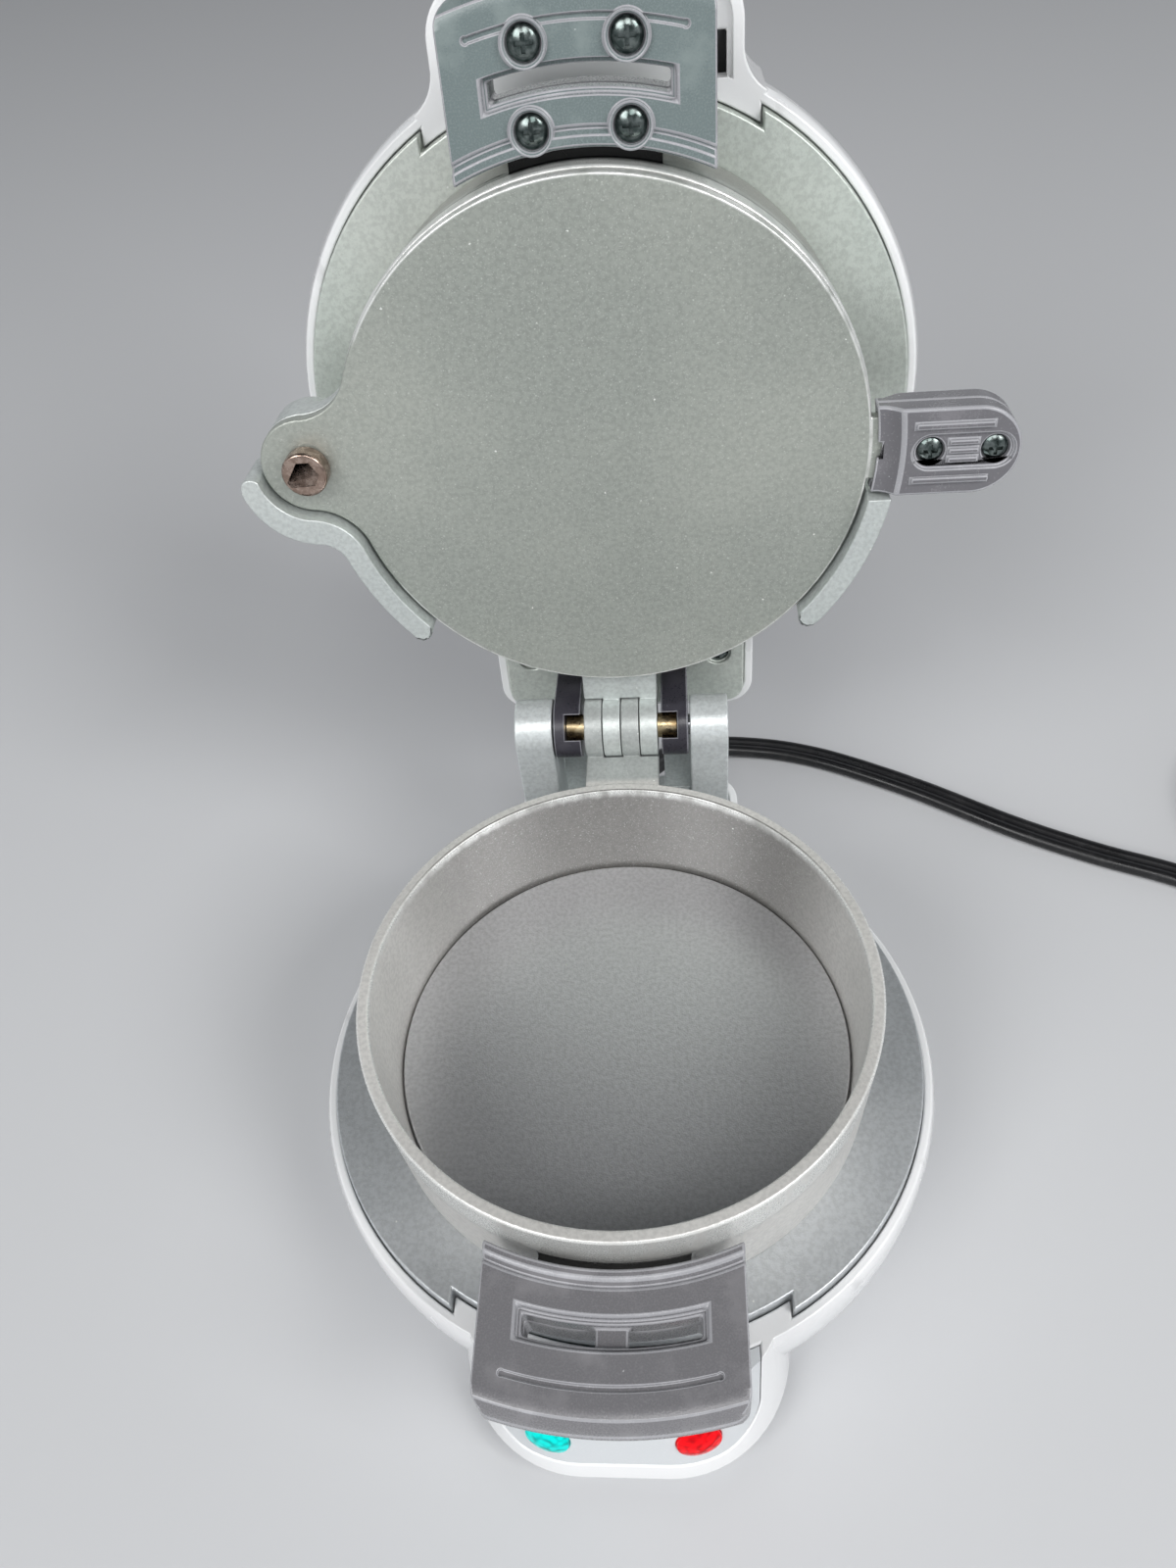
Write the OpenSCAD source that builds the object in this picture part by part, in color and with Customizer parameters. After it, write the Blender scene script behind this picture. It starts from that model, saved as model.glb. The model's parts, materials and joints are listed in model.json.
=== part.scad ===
// Single breakfast sandwich maker, opened: base, two hinged cooking rings, a cooking plate that
// swings out from between them, a hinged cover, and the mains lead with its plug.
// Pieces above the hinge are drawn as they lie when the cover is shut, then turned open together.

/* [Cooking rings] */
// Outer radius of both rings where they meet
ring_r = 54; // [50:0.5:57]
// Wall thickness of the rings where they meet
ring_wall = 2.6; // [2:0.1:3.4]
// How much narrower each ring is at its far edge
ring_draft = 1.2; // [0.4:0.1:2]
// Height of the bottom ring
bottom_ring_h = 28.4; // [25:0.2:34]
// Height of the locating disc that each ring stands round
pad_h = 2.4; // [1:0.1:4]

/* [Cooking plate] */
// Distance from the rings' outside in to the plate's edge
plate_inset = 0.4; // [0.2:0.1:2]
// Thickness of the cooking plate
plate_t = 2.8; // [2:0.1:4]
// Distance from the rings' outside out to the plate's pivot
pivot_out = 6.5; // [6:0.1:7.5]
// Radius of the ear round the pivot
ear_r = 10; // [8:0.1:11]
// Radius of the hollow where the ear runs into the disc
ear_fillet = 12; // [8:0.5:16]
// How far the plate swings out
swing_angle = 105; // [60:1:108]
// Radius of the pivot screw's shank
pivot_shank_r = 2.8; // [2:0.1:3.4]
// Radius of the pivot screw's head
pivot_head_r = 4.7; // [4:0.1:6]
// Height of the pivot screw's head
pivot_head_h = 4.2; // [3:0.1:5]

/* [Plate handle] */
// Half the width of the plate's handle
plate_handle_half = 9; // [8:0.1:11]
// How far the plate's handle reaches past the rings
plate_handle_l = 28; // [24:0.5:34]
// Thickness of the plate's handle
plate_handle_t = 9; // [7:0.1:9.4]

/* [Ring handles] */
// Half the width of the ring handles
handle_half = 23.6; // [20:0.2:26]
// Gap between a ring's wall and its handle
handle_gap = 2.3; // [1.5:0.1:3]
// How far the ring handles reach past the rings
handle_l = 27.8; // [25:0.2:31]
// Thickness of the ring handles
handle_t = 12.6; // [10:0.2:14]
// Distance from the joint between the rings to a handle's lip
handle_drop = 5; // [4.8:0.1:7]
// Radius of the rounded outer corners of the ring handles
handle_corner = 4; // [2:0.5:6]

/* [Base and cover shells] */
// How far the shells reach past the rings
body_over = 13.6; // [13.2:0.2:18]
// Height of the silver rim above the table
rim_z = 31.2; // [28:0.2:33]
// Height of the heating plate's flange above the table
flange_z = 33.6; // [33:0.1:36]
// Wall thickness of the shells
shell_wall = 2.2; // [1.6:0.1:2.6]
// How far the heating plates reach past the rings
flange_over = 10.8; // [9.4:0.1:11]
// How far the base's nose reaches past the rings
nose_over = 25; // [23:0.5:30]
// Half the width of the base's nose
nose_half = 33.5; // [31:0.5:36]
// How far the hinge tabs reach past the rings
tab_over = 30; // [29:0.5:34]
// Half the width of the base's hinge tab
tab_half = 28.5; // [28:0.5:32]
// Half the width of the cover's hinge tab
cover_tab_half = 33; // [30:0.5:36]
// Half the width of the cover's nose
cover_nose_half = 29.5; // [26:0.5:32]

/* [Cover grip] */
// Length of the cover's grip
grip_l = 66; // [50:1:75]
// Half the width of the grip at its root
grip_half = 25; // [20:0.5:27]
// Thickness of the grip
grip_t = 15; // [13:0.5:17]

/* [Hinge] */
// Distance of the hinge axis behind the rings' outside
hinge_out = 15.6; // [14.6:0.1:17]
// Height of the hinge axis above the table
hinge_z = 65; // [64:0.1:67]
// How far the cover is open
open_angle = 98; // [90:1:100]
// Radius of the ring knuckles and the hinge ears
knuckle_r = 7.2; // [6:0.1:7.5]
// Width of one ring knuckle
knuckle_w = 4.2; // [3.4:0.1:4.2]
// Radius of the brass ring pin
ring_pin_r = 3; // [2:0.1:3.6]
// Radius of the steel cover pins
cover_pin_r = 2.5; // [1.8:0.1:3]
// Inner side of the cover's hinge arms
arm_in = 9.6; // [9.2:0.1:10]
// Width of a hinge arm
arm_w = 6.4; // [5.6:0.1:6.5]
// Inner side of the hinge ears
ear_in = 16.4; // [16.4:0.1:17]
// Width of a hinge ear
ear_w = 9; // [8:0.1:10]

/* [Indicator lamps] */
// Distance of each lamp from the middle
lamp_x = 14.6; // [12:0.1:16]
// Height of the lamps above the table
lamp_z = 18; // [16:0.5:22]
// Radius of a lens
lens_r = 4.4; // [3.5:0.1:5]

/* [Mains lead] */
// Width of the flat twin lead
cord_w = 7; // [5:0.2:7]
// Thickness of the flat twin lead
cord_t = 3.6; // [2.8:0.1:3.8]
// Radius of the coil at its outer turn
coil_r = 42; // [40:0.5:46]
// Number of turns in the coil
coil_turns = 2.35; // [2.2:0.05:2.6]

/* [Hidden] */
$fn = 96;
e = 0.01;
fit = 0.1;
run = 0.3;
seat = 0.4;

// Places that the rings' size fixes
plate_r = ring_r - plate_inset;
pivot_reach = ring_r + pivot_out;
plate_handle_reach = ring_r + plate_handle_l;
handle_out = ring_r + handle_l;
body_r = ring_r + body_over;
flange_r = ring_r + flange_over;
nose_front = ring_r + nose_over;
tab_back = ring_r + tab_over;
hinge_y = ring_r + hinge_out;

// Heights that the rings fix
joint_z = flange_z + bottom_ring_h;
plate_low = joint_z + run;
plate_top = plate_low + plate_t;
top_rim_z = plate_top + run;
upper_flange_z = 2 * joint_z - flange_z;
top_ring_end = upper_flange_z - run;

// Heating plate casting
flange_t = 2;
skirt_h = 4.6;
skirt_w = 2.4;
ledge_z = flange_z - skirt_h;
pad_r = ring_r - ring_draft - ring_wall - seat - 0.6;
trim_half = 33;
trim_r = flange_r - 2.9;
tab_corner = 9;
cover_tab_corner = 7;

// Shells
bulge_z = 25;
base_low_z = 2.5;
base_low_r = body_r - 11.6;
cover_low_r = body_r - 31.6;
bottom_open_r = base_low_r - 1;
rim_inset = 0.8;
nose_top_in = 7;
nose_side_in = 2;
nose_r = 25;
nose_low_z = 6;
bar_w = 4.6;
panel_half = 26.5;
panel_low_z = 11;
cover_nose_front = body_r + 12.4;
grip_front = cover_nose_front + grip_l;
cover_nose_corner = 10;
cover_nose_fillet = 9;
nose_floor = 3;

// Ring handles
handle_in = ring_r + handle_gap;
face_in = 0.9;
lug_t = 2.6;
lug_half = 14;
lug_out = handle_out - 5;
neck_half = 2.2;
rib_half = 2.9;
slot_wall = 1.6;
slot_w = 3.6;
slot_half = 15.8;
ledge_w = 0.9;
ledge_depth = 2.4;
boss_r = 3.9;
sink_r = 3.1;
sink_rim_r = 3.6;
screw_x = 8.7;
screw_near = handle_in + 2.9;
screw_far = handle_out - 9.3;
slot_r = (screw_near + screw_far) / 2 - 0.6;
groove_r = handle_out - 6.6;
groove_w = 1;
groove_half = 18.5;

// Pivot and the plate's handle
pivot = [-pivot_reach * cos(2), -pivot_reach * sin(2)];
tongue_half = 6.5;
tongue_end = plate_handle_reach - 6;
handle_low = plate_low + plate_t / 2 - plate_handle_t / 2;
step_in = ring_r + 0.7;
neck_in = step_in + 1.4;
neck_out = neck_in + 3.2;
plate_screws = [neck_out + 5.4, plate_handle_reach - 4.8];

// Element, reflector and what hangs on them
element_r = ring_r - 17;
element_tube = 3.2;
element_gap = 40;
leg_turn = element_gap / 2 + 3;
leg_l = 9;
blade_l = 6;
blade_r = 1.2;
post_r = 3;
post_at = 24;
reflector_r = element_r + element_tube + 0.6;
reflector_t = 0.8;
reflector_drop = 9;
tower_r = 4;
tower_at = reflector_r + tower_r + 0.7;

// Grip
tongue_w = 10;
tongue_t = 4;
grip_end_half = 19;
grip_mid = rim_z - 14;
grip_screws = [-cover_nose_front - 16, 22 - grip_front];

// Lead: exit, route on the table and the coil beside the appliance
exit = [-6, tab_back, 15];
exit_turn = 55;
boot_l = 18;
boot_drop = 14;
tie_t = 0.8;
coil_z = tie_t + 0.4 + cord_t / 2;
coil_centre = [exit.x + 208, exit.y];
coil_start = -122;
coil_pitch = cord_w + 0.6;
layer_h = cord_t + 0.8;

function polar(r, a) = [r * cos(a), r * sin(a)];
// Where a circle round a meets a circle round b, on the side given by s
function meet(a, ra, b, rb, s) =
    let (d = norm(b - a), u = (b - a) / d, k = (d * d + ra * ra - rb * rb) / (2 * d))
    a + k * u + s * sqrt(ra * ra - k * k) * [-u.y, u.x];

module opened() {
    translate([0, hinge_y, hinge_z])
        rotate([-open_angle, 0, 0])
            translate([0, -hinge_y, -hinge_z]) children();
}

module flipped() {
    opened() translate([0, 0, 2 * joint_z]) mirror([0, 0, 1]) children();
}

module both_sides() {
    children();
    mirror([1, 0, 0]) children();
}

module tube(r, bore, h) {
    difference() {
        cylinder(r = r, h = h);
        translate([0, 0, -e]) cylinder(r = bore, h = h + 2 * e);
    }
}

// A flat block along x with its four upright edges rounded
module rounded_plan(half, y0, y1, r) {
    translate([-half + r, y0]) square([2 * half - 2 * r, y1 - y0]);
    translate([-half, y0 + r]) square([2 * half, y1 - y0 - 2 * r]);
    for (x = [-half + r, half - r], y = [y0 + r, y1 - r]) translate([x, y]) circle(r);
}

// What a rounded corner takes away outside the circle of radius r round c
module corner_waste(c, r, a0, a1) {
    difference() {
        polygon([c, c + polar(3 * r, a0), c + polar(4.5 * r, (a0 + a1) / 2), c + polar(3 * r, a1)]);
        translate(c) circle(r);
    }
}

// Screw with a domed head and a cross recess, head down, its seat at z = 0
module cross_screw(head_r, head_h, shank_r, length) {
    difference() {
        union() {
            intersection() {
                translate([0, 0, -head_h]) cylinder(r = head_r, h = head_h);
                translate([0, 0, head_r * 1.6 - head_h]) sphere(head_r * 1.6);
            }
            translate([0, 0, -e]) cylinder(r = shank_r, h = length);
        }
        for (a = [0, 90]) rotate(a)
            translate([-head_r * 0.55, -head_r * 0.14, -head_h - e])
                cube([head_r * 1.1, head_r * 0.28, head_h * 0.55]);
    }
}

// Swept tube: a ring of points round each point of the path, width across and height up
function unit(v) = v / norm(v);
function heading(path, i) =
    unit(path[min(i + 1, len(path) - 1)] - path[max(i - 1, 0)]);
function ring_at(p, t, w, h, sides) =
    let (s = unit(cross(t, [0, 0, 1])), u = cross(s, t))
    [for (i = [0:sides - 1]) let (a = 360 * i / sides) p + s * w / 2 * cos(a) + u * h / 2 * sin(a)];
function rings(path, w, h, sides) =
    [for (i = [0:len(path) - 1]) each ring_at(path[i], heading(path, i), w, h, sides)];
function bend(a, b, c, d, t) =
    0.5 * (2 * b + (c - a) * t + (2 * a - 5 * b + 4 * c - d) * t * t + (3 * b - a - 3 * c + d) * t * t * t);
function smooth(points, steps) =
    let (n = len(points))
    [for (i = [0:n - 2], k = [0:steps - 1])
        bend(points[max(i - 1, 0)], points[i], points[i + 1], points[min(i + 2, n - 1)], k / steps),
     points[n - 1]];

module sweep(path, w, h, sides) {
    n = len(path);
    polyhedron(
        points = rings(path, w, h, sides),
        faces = concat(
            [[for (i = [sides - 1:-1:0]) i]],
            [for (k = [0:n - 2], i = [0:sides - 1])
                let (a = k * sides + i, b = k * sides + (i + 1) % sides)
                each [[a, b, b + sides], [a, b + sides, a + sides]]],
            [[for (i = [0:sides - 1]) (n - 1) * sides + i]]
        )
    );
}

// Shells

function bowl_curve(low_r, low_z, inset) =
    [for (i = [0:15]) let (a = 90 - 6 * i)
        [low_r + (body_r - low_r - inset) * cos(a), bulge_z - (bulge_z - low_z - inset) * sin(a)]];

module bowl_outside(low_r, low_z) {
    rotate_extrude()
        polygon(concat([[0, low_z]], bowl_curve(low_r, low_z, 0),
            [[body_r, rim_z - 2.5], [body_r - rim_inset, rim_z], [0, rim_z]]));
}

module bowl_inside(low_r, low_z) {
    rotate_extrude()
        polygon(concat([[0, low_z + shell_wall]], bowl_curve(low_r, low_z, shell_wall),
            [[body_r - shell_wall, ledge_z - shell_wall], [0, ledge_z - shell_wall]]));
}

// Outline of a heating plate: disc, hinge tab and trimmed front, moved out by grow
module plate_plan(grow, half, corner) {
    difference() {
        circle(flange_r + grow);
        intersection() {
            translate([-trim_half + grow, -2 * flange_r])
                square([2 * (trim_half - grow), 2 * flange_r]);
            difference() {
                circle(flange_r + 8);
                circle(trim_r + grow);
            }
        }
    }
    rounded_plan(half - skirt_w + grow, 30, tab_back - skirt_w + grow, corner - skirt_w + grow);
}

// What both shells lose: the inside of bowl and tab, and the seat of the heating plate
module shell_cavity(low_r, low_z, half, corner, tab_low) {
    bowl_inside(low_r, low_z);
    translate([0, 0, tab_low + shell_wall])
        linear_extrude(ledge_z - tab_low - 2 * shell_wall)
            rounded_plan(half - shell_wall, 30, tab_back - shell_wall, corner - shell_wall);
    translate([0, 0, ledge_z - shell_wall - e])
        linear_extrude(shell_wall + 2 * e) plate_plan(0.5 - skirt_w, half, corner);
    translate([0, 0, ledge_z])
        linear_extrude(2 * skirt_h) plate_plan(run, half, corner);
}

tab_low_z = 5;

module nose_body(inset) {
    top_r = nose_r - 3;
    hull() for (s = [-1, 1]) {
        translate([s * (nose_half - nose_r), -(nose_front - nose_r), nose_low_z + inset])
            cylinder(r = nose_r - inset, h = 1, $fn = 64);
        translate([s * (nose_half - nose_side_in - top_r),
                -(nose_front - nose_top_in - top_r), rim_z - inset - 1])
            cylinder(r = top_r - inset, h = 1, $fn = 64);
    }
}

// Where the lamp panel lies in the nose
module panel_zone(grow) {
    difference() {
        translate([0, -trim_r / 2, 0]) rotate([90, 0, 0])
            linear_extrude(nose_front) rounded_plan(panel_half + grow, panel_low_z - grow, 60, 8);
        translate([0, 0, -e]) cylinder(r = trim_r + bar_w - grow, h = 80);
    }
}

// Lamps: where the nose's sloping front lies at their height, and which way it faces
lamp_t = (lamp_z - nose_low_z) / (rim_z - nose_low_z);
lamp_r = nose_r - 3 * lamp_t;
lamp_off = lamp_x - (nose_half - nose_r) - (3 - nose_side_in) * lamp_t;
lamp_run = sqrt(lamp_r * lamp_r - lamp_off * lamp_off);
lamp_y = -(nose_front - nose_r) + (nose_top_in - 3) * lamp_t - lamp_run;
lamp_yaw = atan(lamp_off / lamp_run);
lamp_tilt = atan(nose_top_in / (rim_z - nose_low_z));

module at_lamp(side) {
    translate([side * lamp_x, lamp_y, lamp_z])
        rotate([0, 0, side * lamp_yaw]) rotate([90 - lamp_tilt, 0, 0]) children();
}

foot_ring_r = [base_low_r - 5.5, base_low_r - 1.5];
foot_in = 0.8;
rear_foot = [18, tab_back - 10];
rear_foot_r = 5;
gland_r = 4.6;

module base_shell() color([0.86, 0.87, 0.88]) difference() {
    union() {
        bowl_outside(base_low_r, base_low_z);
        translate([0, 0, tab_low_z])
            linear_extrude(rim_z - tab_low_z) rounded_plan(tab_half, 20, tab_back, tab_corner);
        nose_body(0);
    }
    shell_cavity(base_low_r, base_low_z, tab_half, tab_corner, tab_low_z);
    nose_body(shell_wall);
    panel_zone(0);
    translate([0, 0, -e]) cylinder(r = bottom_open_r, h = base_low_z + 2 * shell_wall);
    translate([exit.x, tab_back + e, exit.z])
        rotate([90, 0, 0]) cylinder(r = gland_r + fit, h = 3 * shell_wall);
    for (s = [-1, 1]) translate([s * rear_foot.x, rear_foot.y, tab_low_z - e])
        cylinder(r = rear_foot_r + fit, h = foot_in + e);
}

boss_z = flange_z - 7.6;
cover_t = 2;
cover_top_z = base_low_z + cover_t;
head_seat_z = base_low_z + 1.4;
screw_r = 1.5;
tower_angles = [45, 135, 225, 315];

module bottom_cover() color([0.13, 0.13, 0.14]) difference() {
    union() {
        translate([0, 0, base_low_z]) cylinder(r = bottom_open_r - run, h = cover_t);
        for (a = tower_angles) translate(concat(polar(tower_at, a), base_low_z))
            cylinder(r = tower_r, h = boss_z - base_low_z - fit);
    }
    translate([0, 0, base_low_z - e]) difference() {
        cylinder(r = foot_ring_r[1] + fit, h = foot_in);
        translate([0, 0, -e]) cylinder(r = foot_ring_r[0] - fit, h = 2 * foot_in);
    }
    for (a = tower_angles) translate(concat(polar(tower_at, a), base_low_z - e)) {
        cylinder(r = screw_r + 0.2, h = boss_z);
        cylinder(r = 3.2, h = head_seat_z - base_low_z + e);
    }
    for (i = [-4:4]) translate([8 * i - 1.25, -26, base_low_z - e]) cube([2.5, 16, cover_t + 2 * e]);
}

module rubber_feet() color([0.1, 0.1, 0.1]) {
    difference() {
        cylinder(r = foot_ring_r[1], h = base_low_z + foot_in - fit);
        translate([0, 0, -e]) cylinder(r = foot_ring_r[0], h = base_low_z + foot_in);
    }
    for (s = [-1, 1]) translate([s * rear_foot.x, rear_foot.y, 0])
        cylinder(r = rear_foot_r, h = tab_low_z + foot_in - fit);
}

module bottom_screws() color([0.6, 0.6, 0.62]) for (a = tower_angles)
    translate(concat(polar(tower_at, a), head_seat_z))
        cross_screw(2.9, 1.3, screw_r - 0.05, boss_z - head_seat_z + 4.4);

// Cast heating plate: flange, skirt, the disc that locates the ring, bosses and reflector posts
module heating_plate(half, corner) {
    difference() {
        union() {
            translate([0, 0, flange_z - flange_t]) linear_extrude(flange_t) plate_plan(0, half, corner);
            translate([0, 0, ledge_z]) difference() {
                linear_extrude(skirt_h) plate_plan(0, half, corner);
                translate([0, 0, -e]) linear_extrude(skirt_h - flange_t) plate_plan(-skirt_w, half, corner);
            }
            translate([0, 0, flange_z - e]) cylinder(r = pad_r, h = pad_h + e);
            for (a = tower_angles) translate(concat(polar(tower_at, a), boss_z))
                cylinder(r = tower_r, h = flange_z - flange_t - boss_z + e);
            for (s = [-1, 1]) translate([s * post_at, 0, reflector_z])
                cylinder(r = post_r, h = reflector_drop + e);
        }
        for (a = tower_angles) translate(concat(polar(tower_at, a), boss_z - e))
            cylinder(r = screw_r, h = 5);
        for (s = [-1, 1]) translate([s * post_at, 0, reflector_z - e]) cylinder(r = screw_r, h = 6);
    }
}

reflector_z = flange_z - flange_t - reflector_drop;
flank = knuckle_r - 0.1;
stop_back = tab_back - skirt_w - 1.5;
stop_y = hinge_y + knuckle_r + 0.5;
stop_drop = knuckle_r * sin(open_angle)
    - cos(open_angle) * (stop_back - hinge_y - knuckle_r * cos(open_angle)) / sin(open_angle);

module lower_heating_plate() color([0.33, 0.36, 0.36]) {
    heating_plate(tab_half, tab_corner);
    both_sides() difference() {
        union() {
            translate([ear_in, hinge_y, hinge_z]) rotate([0, 90, 0]) cylinder(r = knuckle_r, h = ear_w);
            translate([ear_in, hinge_y - flank, flange_z - flange_t])
                cube([ear_w, 2 * flank, hinge_z - flange_z + flange_t]);
            translate([arm_in, stop_y, flange_z - flange_t])
                cube([ear_in + ear_w - arm_in, stop_back - stop_y,
                    hinge_z - stop_drop - run - flange_z + flange_t]);
            translate([ear_in, hinge_y, flange_z - flange_t])
                cube([ear_w, stop_y - hinge_y + e, hinge_z - stop_drop - run - flange_z + flange_t]);
        }
        translate([ear_in - e, hinge_y, hinge_z]) rotate([0, 90, 0])
            cylinder(r = cover_pin_r + 0.05, h = ear_w - 1.2);
    }
}

module element() {
    z = flange_z - flange_t - element_tube - fit;
    translate([0, 0, z]) rotate(90 + element_gap / 2) rotate_extrude(angle = 360 - element_gap)
        translate([element_r, 0]) circle(element_tube);
    for (s = [-1, 1]) translate(concat(polar(element_r, 90 + s * leg_turn), z)) {
        translate([0, 0, -leg_l]) cylinder(r = element_tube - 0.3, h = leg_l + 2);
        translate([0, 0, -leg_l - blade_l]) cylinder(r = blade_r, h = blade_l + 2);
    }
}

module reflector() {
    translate([0, 0, reflector_z - reflector_t]) difference() {
        union() {
            cylinder(r = reflector_r, h = reflector_t);
            tube(reflector_r, reflector_r - reflector_t, 3);
        }
        for (s = [-1, 1])
            translate(concat(polar(element_r, 90 + s * leg_turn), -e))
                cylinder(r = element_tube + 0.8, h = 4);
        for (s = [-1, 1]) translate([s * post_at, 0, -e]) cylinder(r = screw_r + 0.2, h = 2);
    }
}

module post_screws() for (s = [-1, 1])
    translate([s * post_at, 0, reflector_z - reflector_t - fit])
        cross_screw(2.8, 1.8, screw_r - 0.05, 5.4);

module lower_element() color([0.55, 0.55, 0.56]) element();
module lower_reflector() color([0.75, 0.76, 0.78]) reflector();
module reflector_screws() color([0.6, 0.6, 0.62]) post_screws();

module thermostat() color([0.16, 0.16, 0.17]) translate([0, 10, flange_z - flange_t - fit]) {
    translate([0, 0, -5.6]) cylinder(r = 8, h = 5.6);
    for (s = [-1, 1]) translate([s * 6 - 0.4, -3, -7.8]) cube([0.8, 6, 3]);
}

module fuse() {
    translate([-13, -16, reflector_z - reflector_t - 2.3])
        rotate([0, 90, 0]) cylinder(r = 2.2, h = 26);
    translate([-2, -19.4, reflector_z - reflector_t - fit - 1]) cube([4, 6.8, 1]);
}
module base_thermal_fuse() color([0.9, 0.88, 0.8]) fuse();

block_at = [0, tower_at - 2];
block_size = [30, 10, 10];
module terminal_block() color([0.93, 0.92, 0.88]) difference() {
    translate([block_at.x - block_size.x / 2, block_at.y - block_size.y / 2, cover_top_z])
        cube(block_size);
    for (i = [-1:1]) translate([block_at.x + 9 * i, block_at.y, cover_top_z + 5])
        cylinder(r = 1.9, h = 8);
}

// Short insulated wires between the parts in a housing
module wire(points) sweep(smooth(points, 4), 2, 2, 8);
pin_tip = polar(element_r, 90 - leg_turn);
pin_z = flange_z - flange_t - element_tube - fit - leg_l - blade_l;
module base_wires() color([0.9, 0.9, 0.88]) {
    for (s = [-1, 1]) wire([[exit.x + 1.8 * s, tab_back - 6, exit.z],
        [exit.x + 2.2 * s, tab_back - 12, exit.z - 1],
        [4 * s - 3, tab_back - 22, 11], [9 * s, block_at.y + 9.5, 10], [9 * s, block_at.y + 5.5, 10]]);
    wire([[pin_tip.x, pin_tip.y, pin_z - 0.4], [pin_tip.x, pin_tip.y, pin_z - 2],
        [pin_tip.x - 3, pin_tip.y - 0.8, 9.4], [9, block_at.y - 8.5, 9], [9, block_at.y - 5.5, 9]]);
    wire([[-9, block_at.y - 5.5, 9], [-9, 30, 9], [-14, 8, 9], [-20, -10, 10],
        [-13.9, -16, reflector_z - reflector_t - 2.3]]);
    wire([[13.9, -16, reflector_z - reflector_t - 2.3], [20, -18, 18], [20, -34, 14], [13, lamp_y + 23, 13],
        [lamp_x - 2, lamp_y + 14, lamp_z - 3]]);
}

module nose_panel() color([0.8, 0.81, 0.82]) difference() {
    intersection() {
        difference() {
            nose_body(0.25);
            nose_body(shell_wall - 0.2);
        }
        panel_zone(-0.15);
    }
    for (s = [-1, 1]) at_lamp(s) translate([0, 0, -5]) cylinder(r = lens_r + fit, h = 9);
}

module lens(side) at_lamp(side) difference() {
    union() {
        intersection() {
            translate([0, 0, -3]) cylinder(r = lens_r, h = 5);
            translate([0, 0, 1.2 - 2 * lens_r]) sphere(2 * lens_r);
        }
        translate([0, 0, -3.6]) cylinder(r = lens_r + 0.9, h = 1);
    }
    translate([0, 0, -3.6 - e]) cylinder(r = 2.2, h = 3);
}
module preheat_lens() color([0.05, 0.65, 0.6]) lens(-1);
module power_lens() color([0.85, 0.08, 0.1]) lens(1);

module neon_lamps() color([0.95, 0.7, 0.5]) for (s = [-1, 1]) at_lamp(s) {
    translate([0, 0, -12]) cylinder(r = 1.8, h = 9.2);
    translate([0, 0, -2.8]) sphere(1.8);
}
module lamp_holder() color([0.92, 0.92, 0.9]) {
    difference() {
        union() {
            for (s = [-1, 1]) at_lamp(s) translate([0, 0, -11]) cylinder(r = 3.2, h = 7.1);
            translate([-lamp_x + 2, lamp_y + 5.6, lamp_z - 4.4]) cube([2 * lamp_x - 4, 2, 4]);
        }
        for (s = [-1, 1]) at_lamp(s) translate([0, 0, -14]) cylinder(r = 1.9, h = 14);
    }
}

// Hinge pins
module cover_pins() color([0.7, 0.7, 0.72]) both_sides()
    translate([arm_in + recess_d + 0.3, hinge_y, hinge_z]) rotate([0, 90, 0])
        cylinder(r = cover_pin_r, h = ear_in + ear_w - 1.4 - arm_in - recess_d - 0.3);
recess_d = 3.8;
module ring_pin() color([0.72, 0.58, 0.3])
    translate([-arm_in - recess_d + 0.2, hinge_y, hinge_z]) rotate([0, 90, 0])
        cylinder(r = ring_pin_r, h = 2 * (arm_in + recess_d - 0.2));

// Ring hinge: a tab from the ring's wall to two of the four knuckles
knuckle_gap = 0.2;
knuckle_step = knuckle_w + knuckle_gap;
knuckles_half = 2 * knuckle_w + 1.5 * knuckle_gap;
module ring_hinge(first, z0, z1) {
    reach = ring_r - ring_wall / 2;
    difference() {
        union() {
            difference() {
                translate([-knuckles_half, 0, z0]) cube([2 * knuckles_half, hinge_y - 2, z1 - z0]);
                translate([0, 0, z0 - e]) cylinder(r = reach, h = z1 - z0 + 2 * e);
                translate([-30, hinge_y, hinge_z]) rotate([0, 90, 0])
                    cylinder(r = knuckle_r + run, h = 60);
            }
            for (i = [first, first + 2]) translate([i * knuckle_step - knuckles_half, 0, 0]) {
                translate([0, hinge_y, hinge_z]) rotate([0, 90, 0]) cylinder(r = knuckle_r, h = knuckle_w);
                translate([0, hinge_y - knuckle_r - 1, z0]) cube([knuckle_w, knuckle_r + 1, z1 - z0]);
            }
        }
        translate([-30, hinge_y, hinge_z]) rotate([0, 90, 0]) cylinder(r = ring_pin_r + fit, h = 60);
    }
}

// Metal tongue from a ring's wall into its handle. A long one goes on past the slot.
module lug_plan(grow, long) {
    intersection() {
        difference() {
            translate([-lug_half - grow, -lug_out - grow]) square([2 * (lug_half + grow), lug_out]);
            handle_slot(slot_wall + fit - grow);
        }
        circle(long ? 2 * ring_r : slot_r - slot_wall - fit + grow);
    }
    if (long) translate([-neck_half - grow, -slot_r - slot_w - 2 * slot_wall])
        square([2 * (neck_half + grow), slot_w + 4 * slot_wall]);
}

module ring_lug(z0, long) translate([0, 0, z0]) linear_extrude(lug_t) difference() {
    lug_plan(0, long);
    circle(ring_r - 1.8);
    handle_screw_points() circle(screw_r + 0.2);
}

module handle_slot(grow) {
    intersection() {
        difference() {
            circle(slot_r + slot_w + grow);
            circle(slot_r - grow);
        }
        translate([-slot_half - grow, -handle_out]) square([2 * (slot_half + grow), handle_out]);
    }
}

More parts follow.
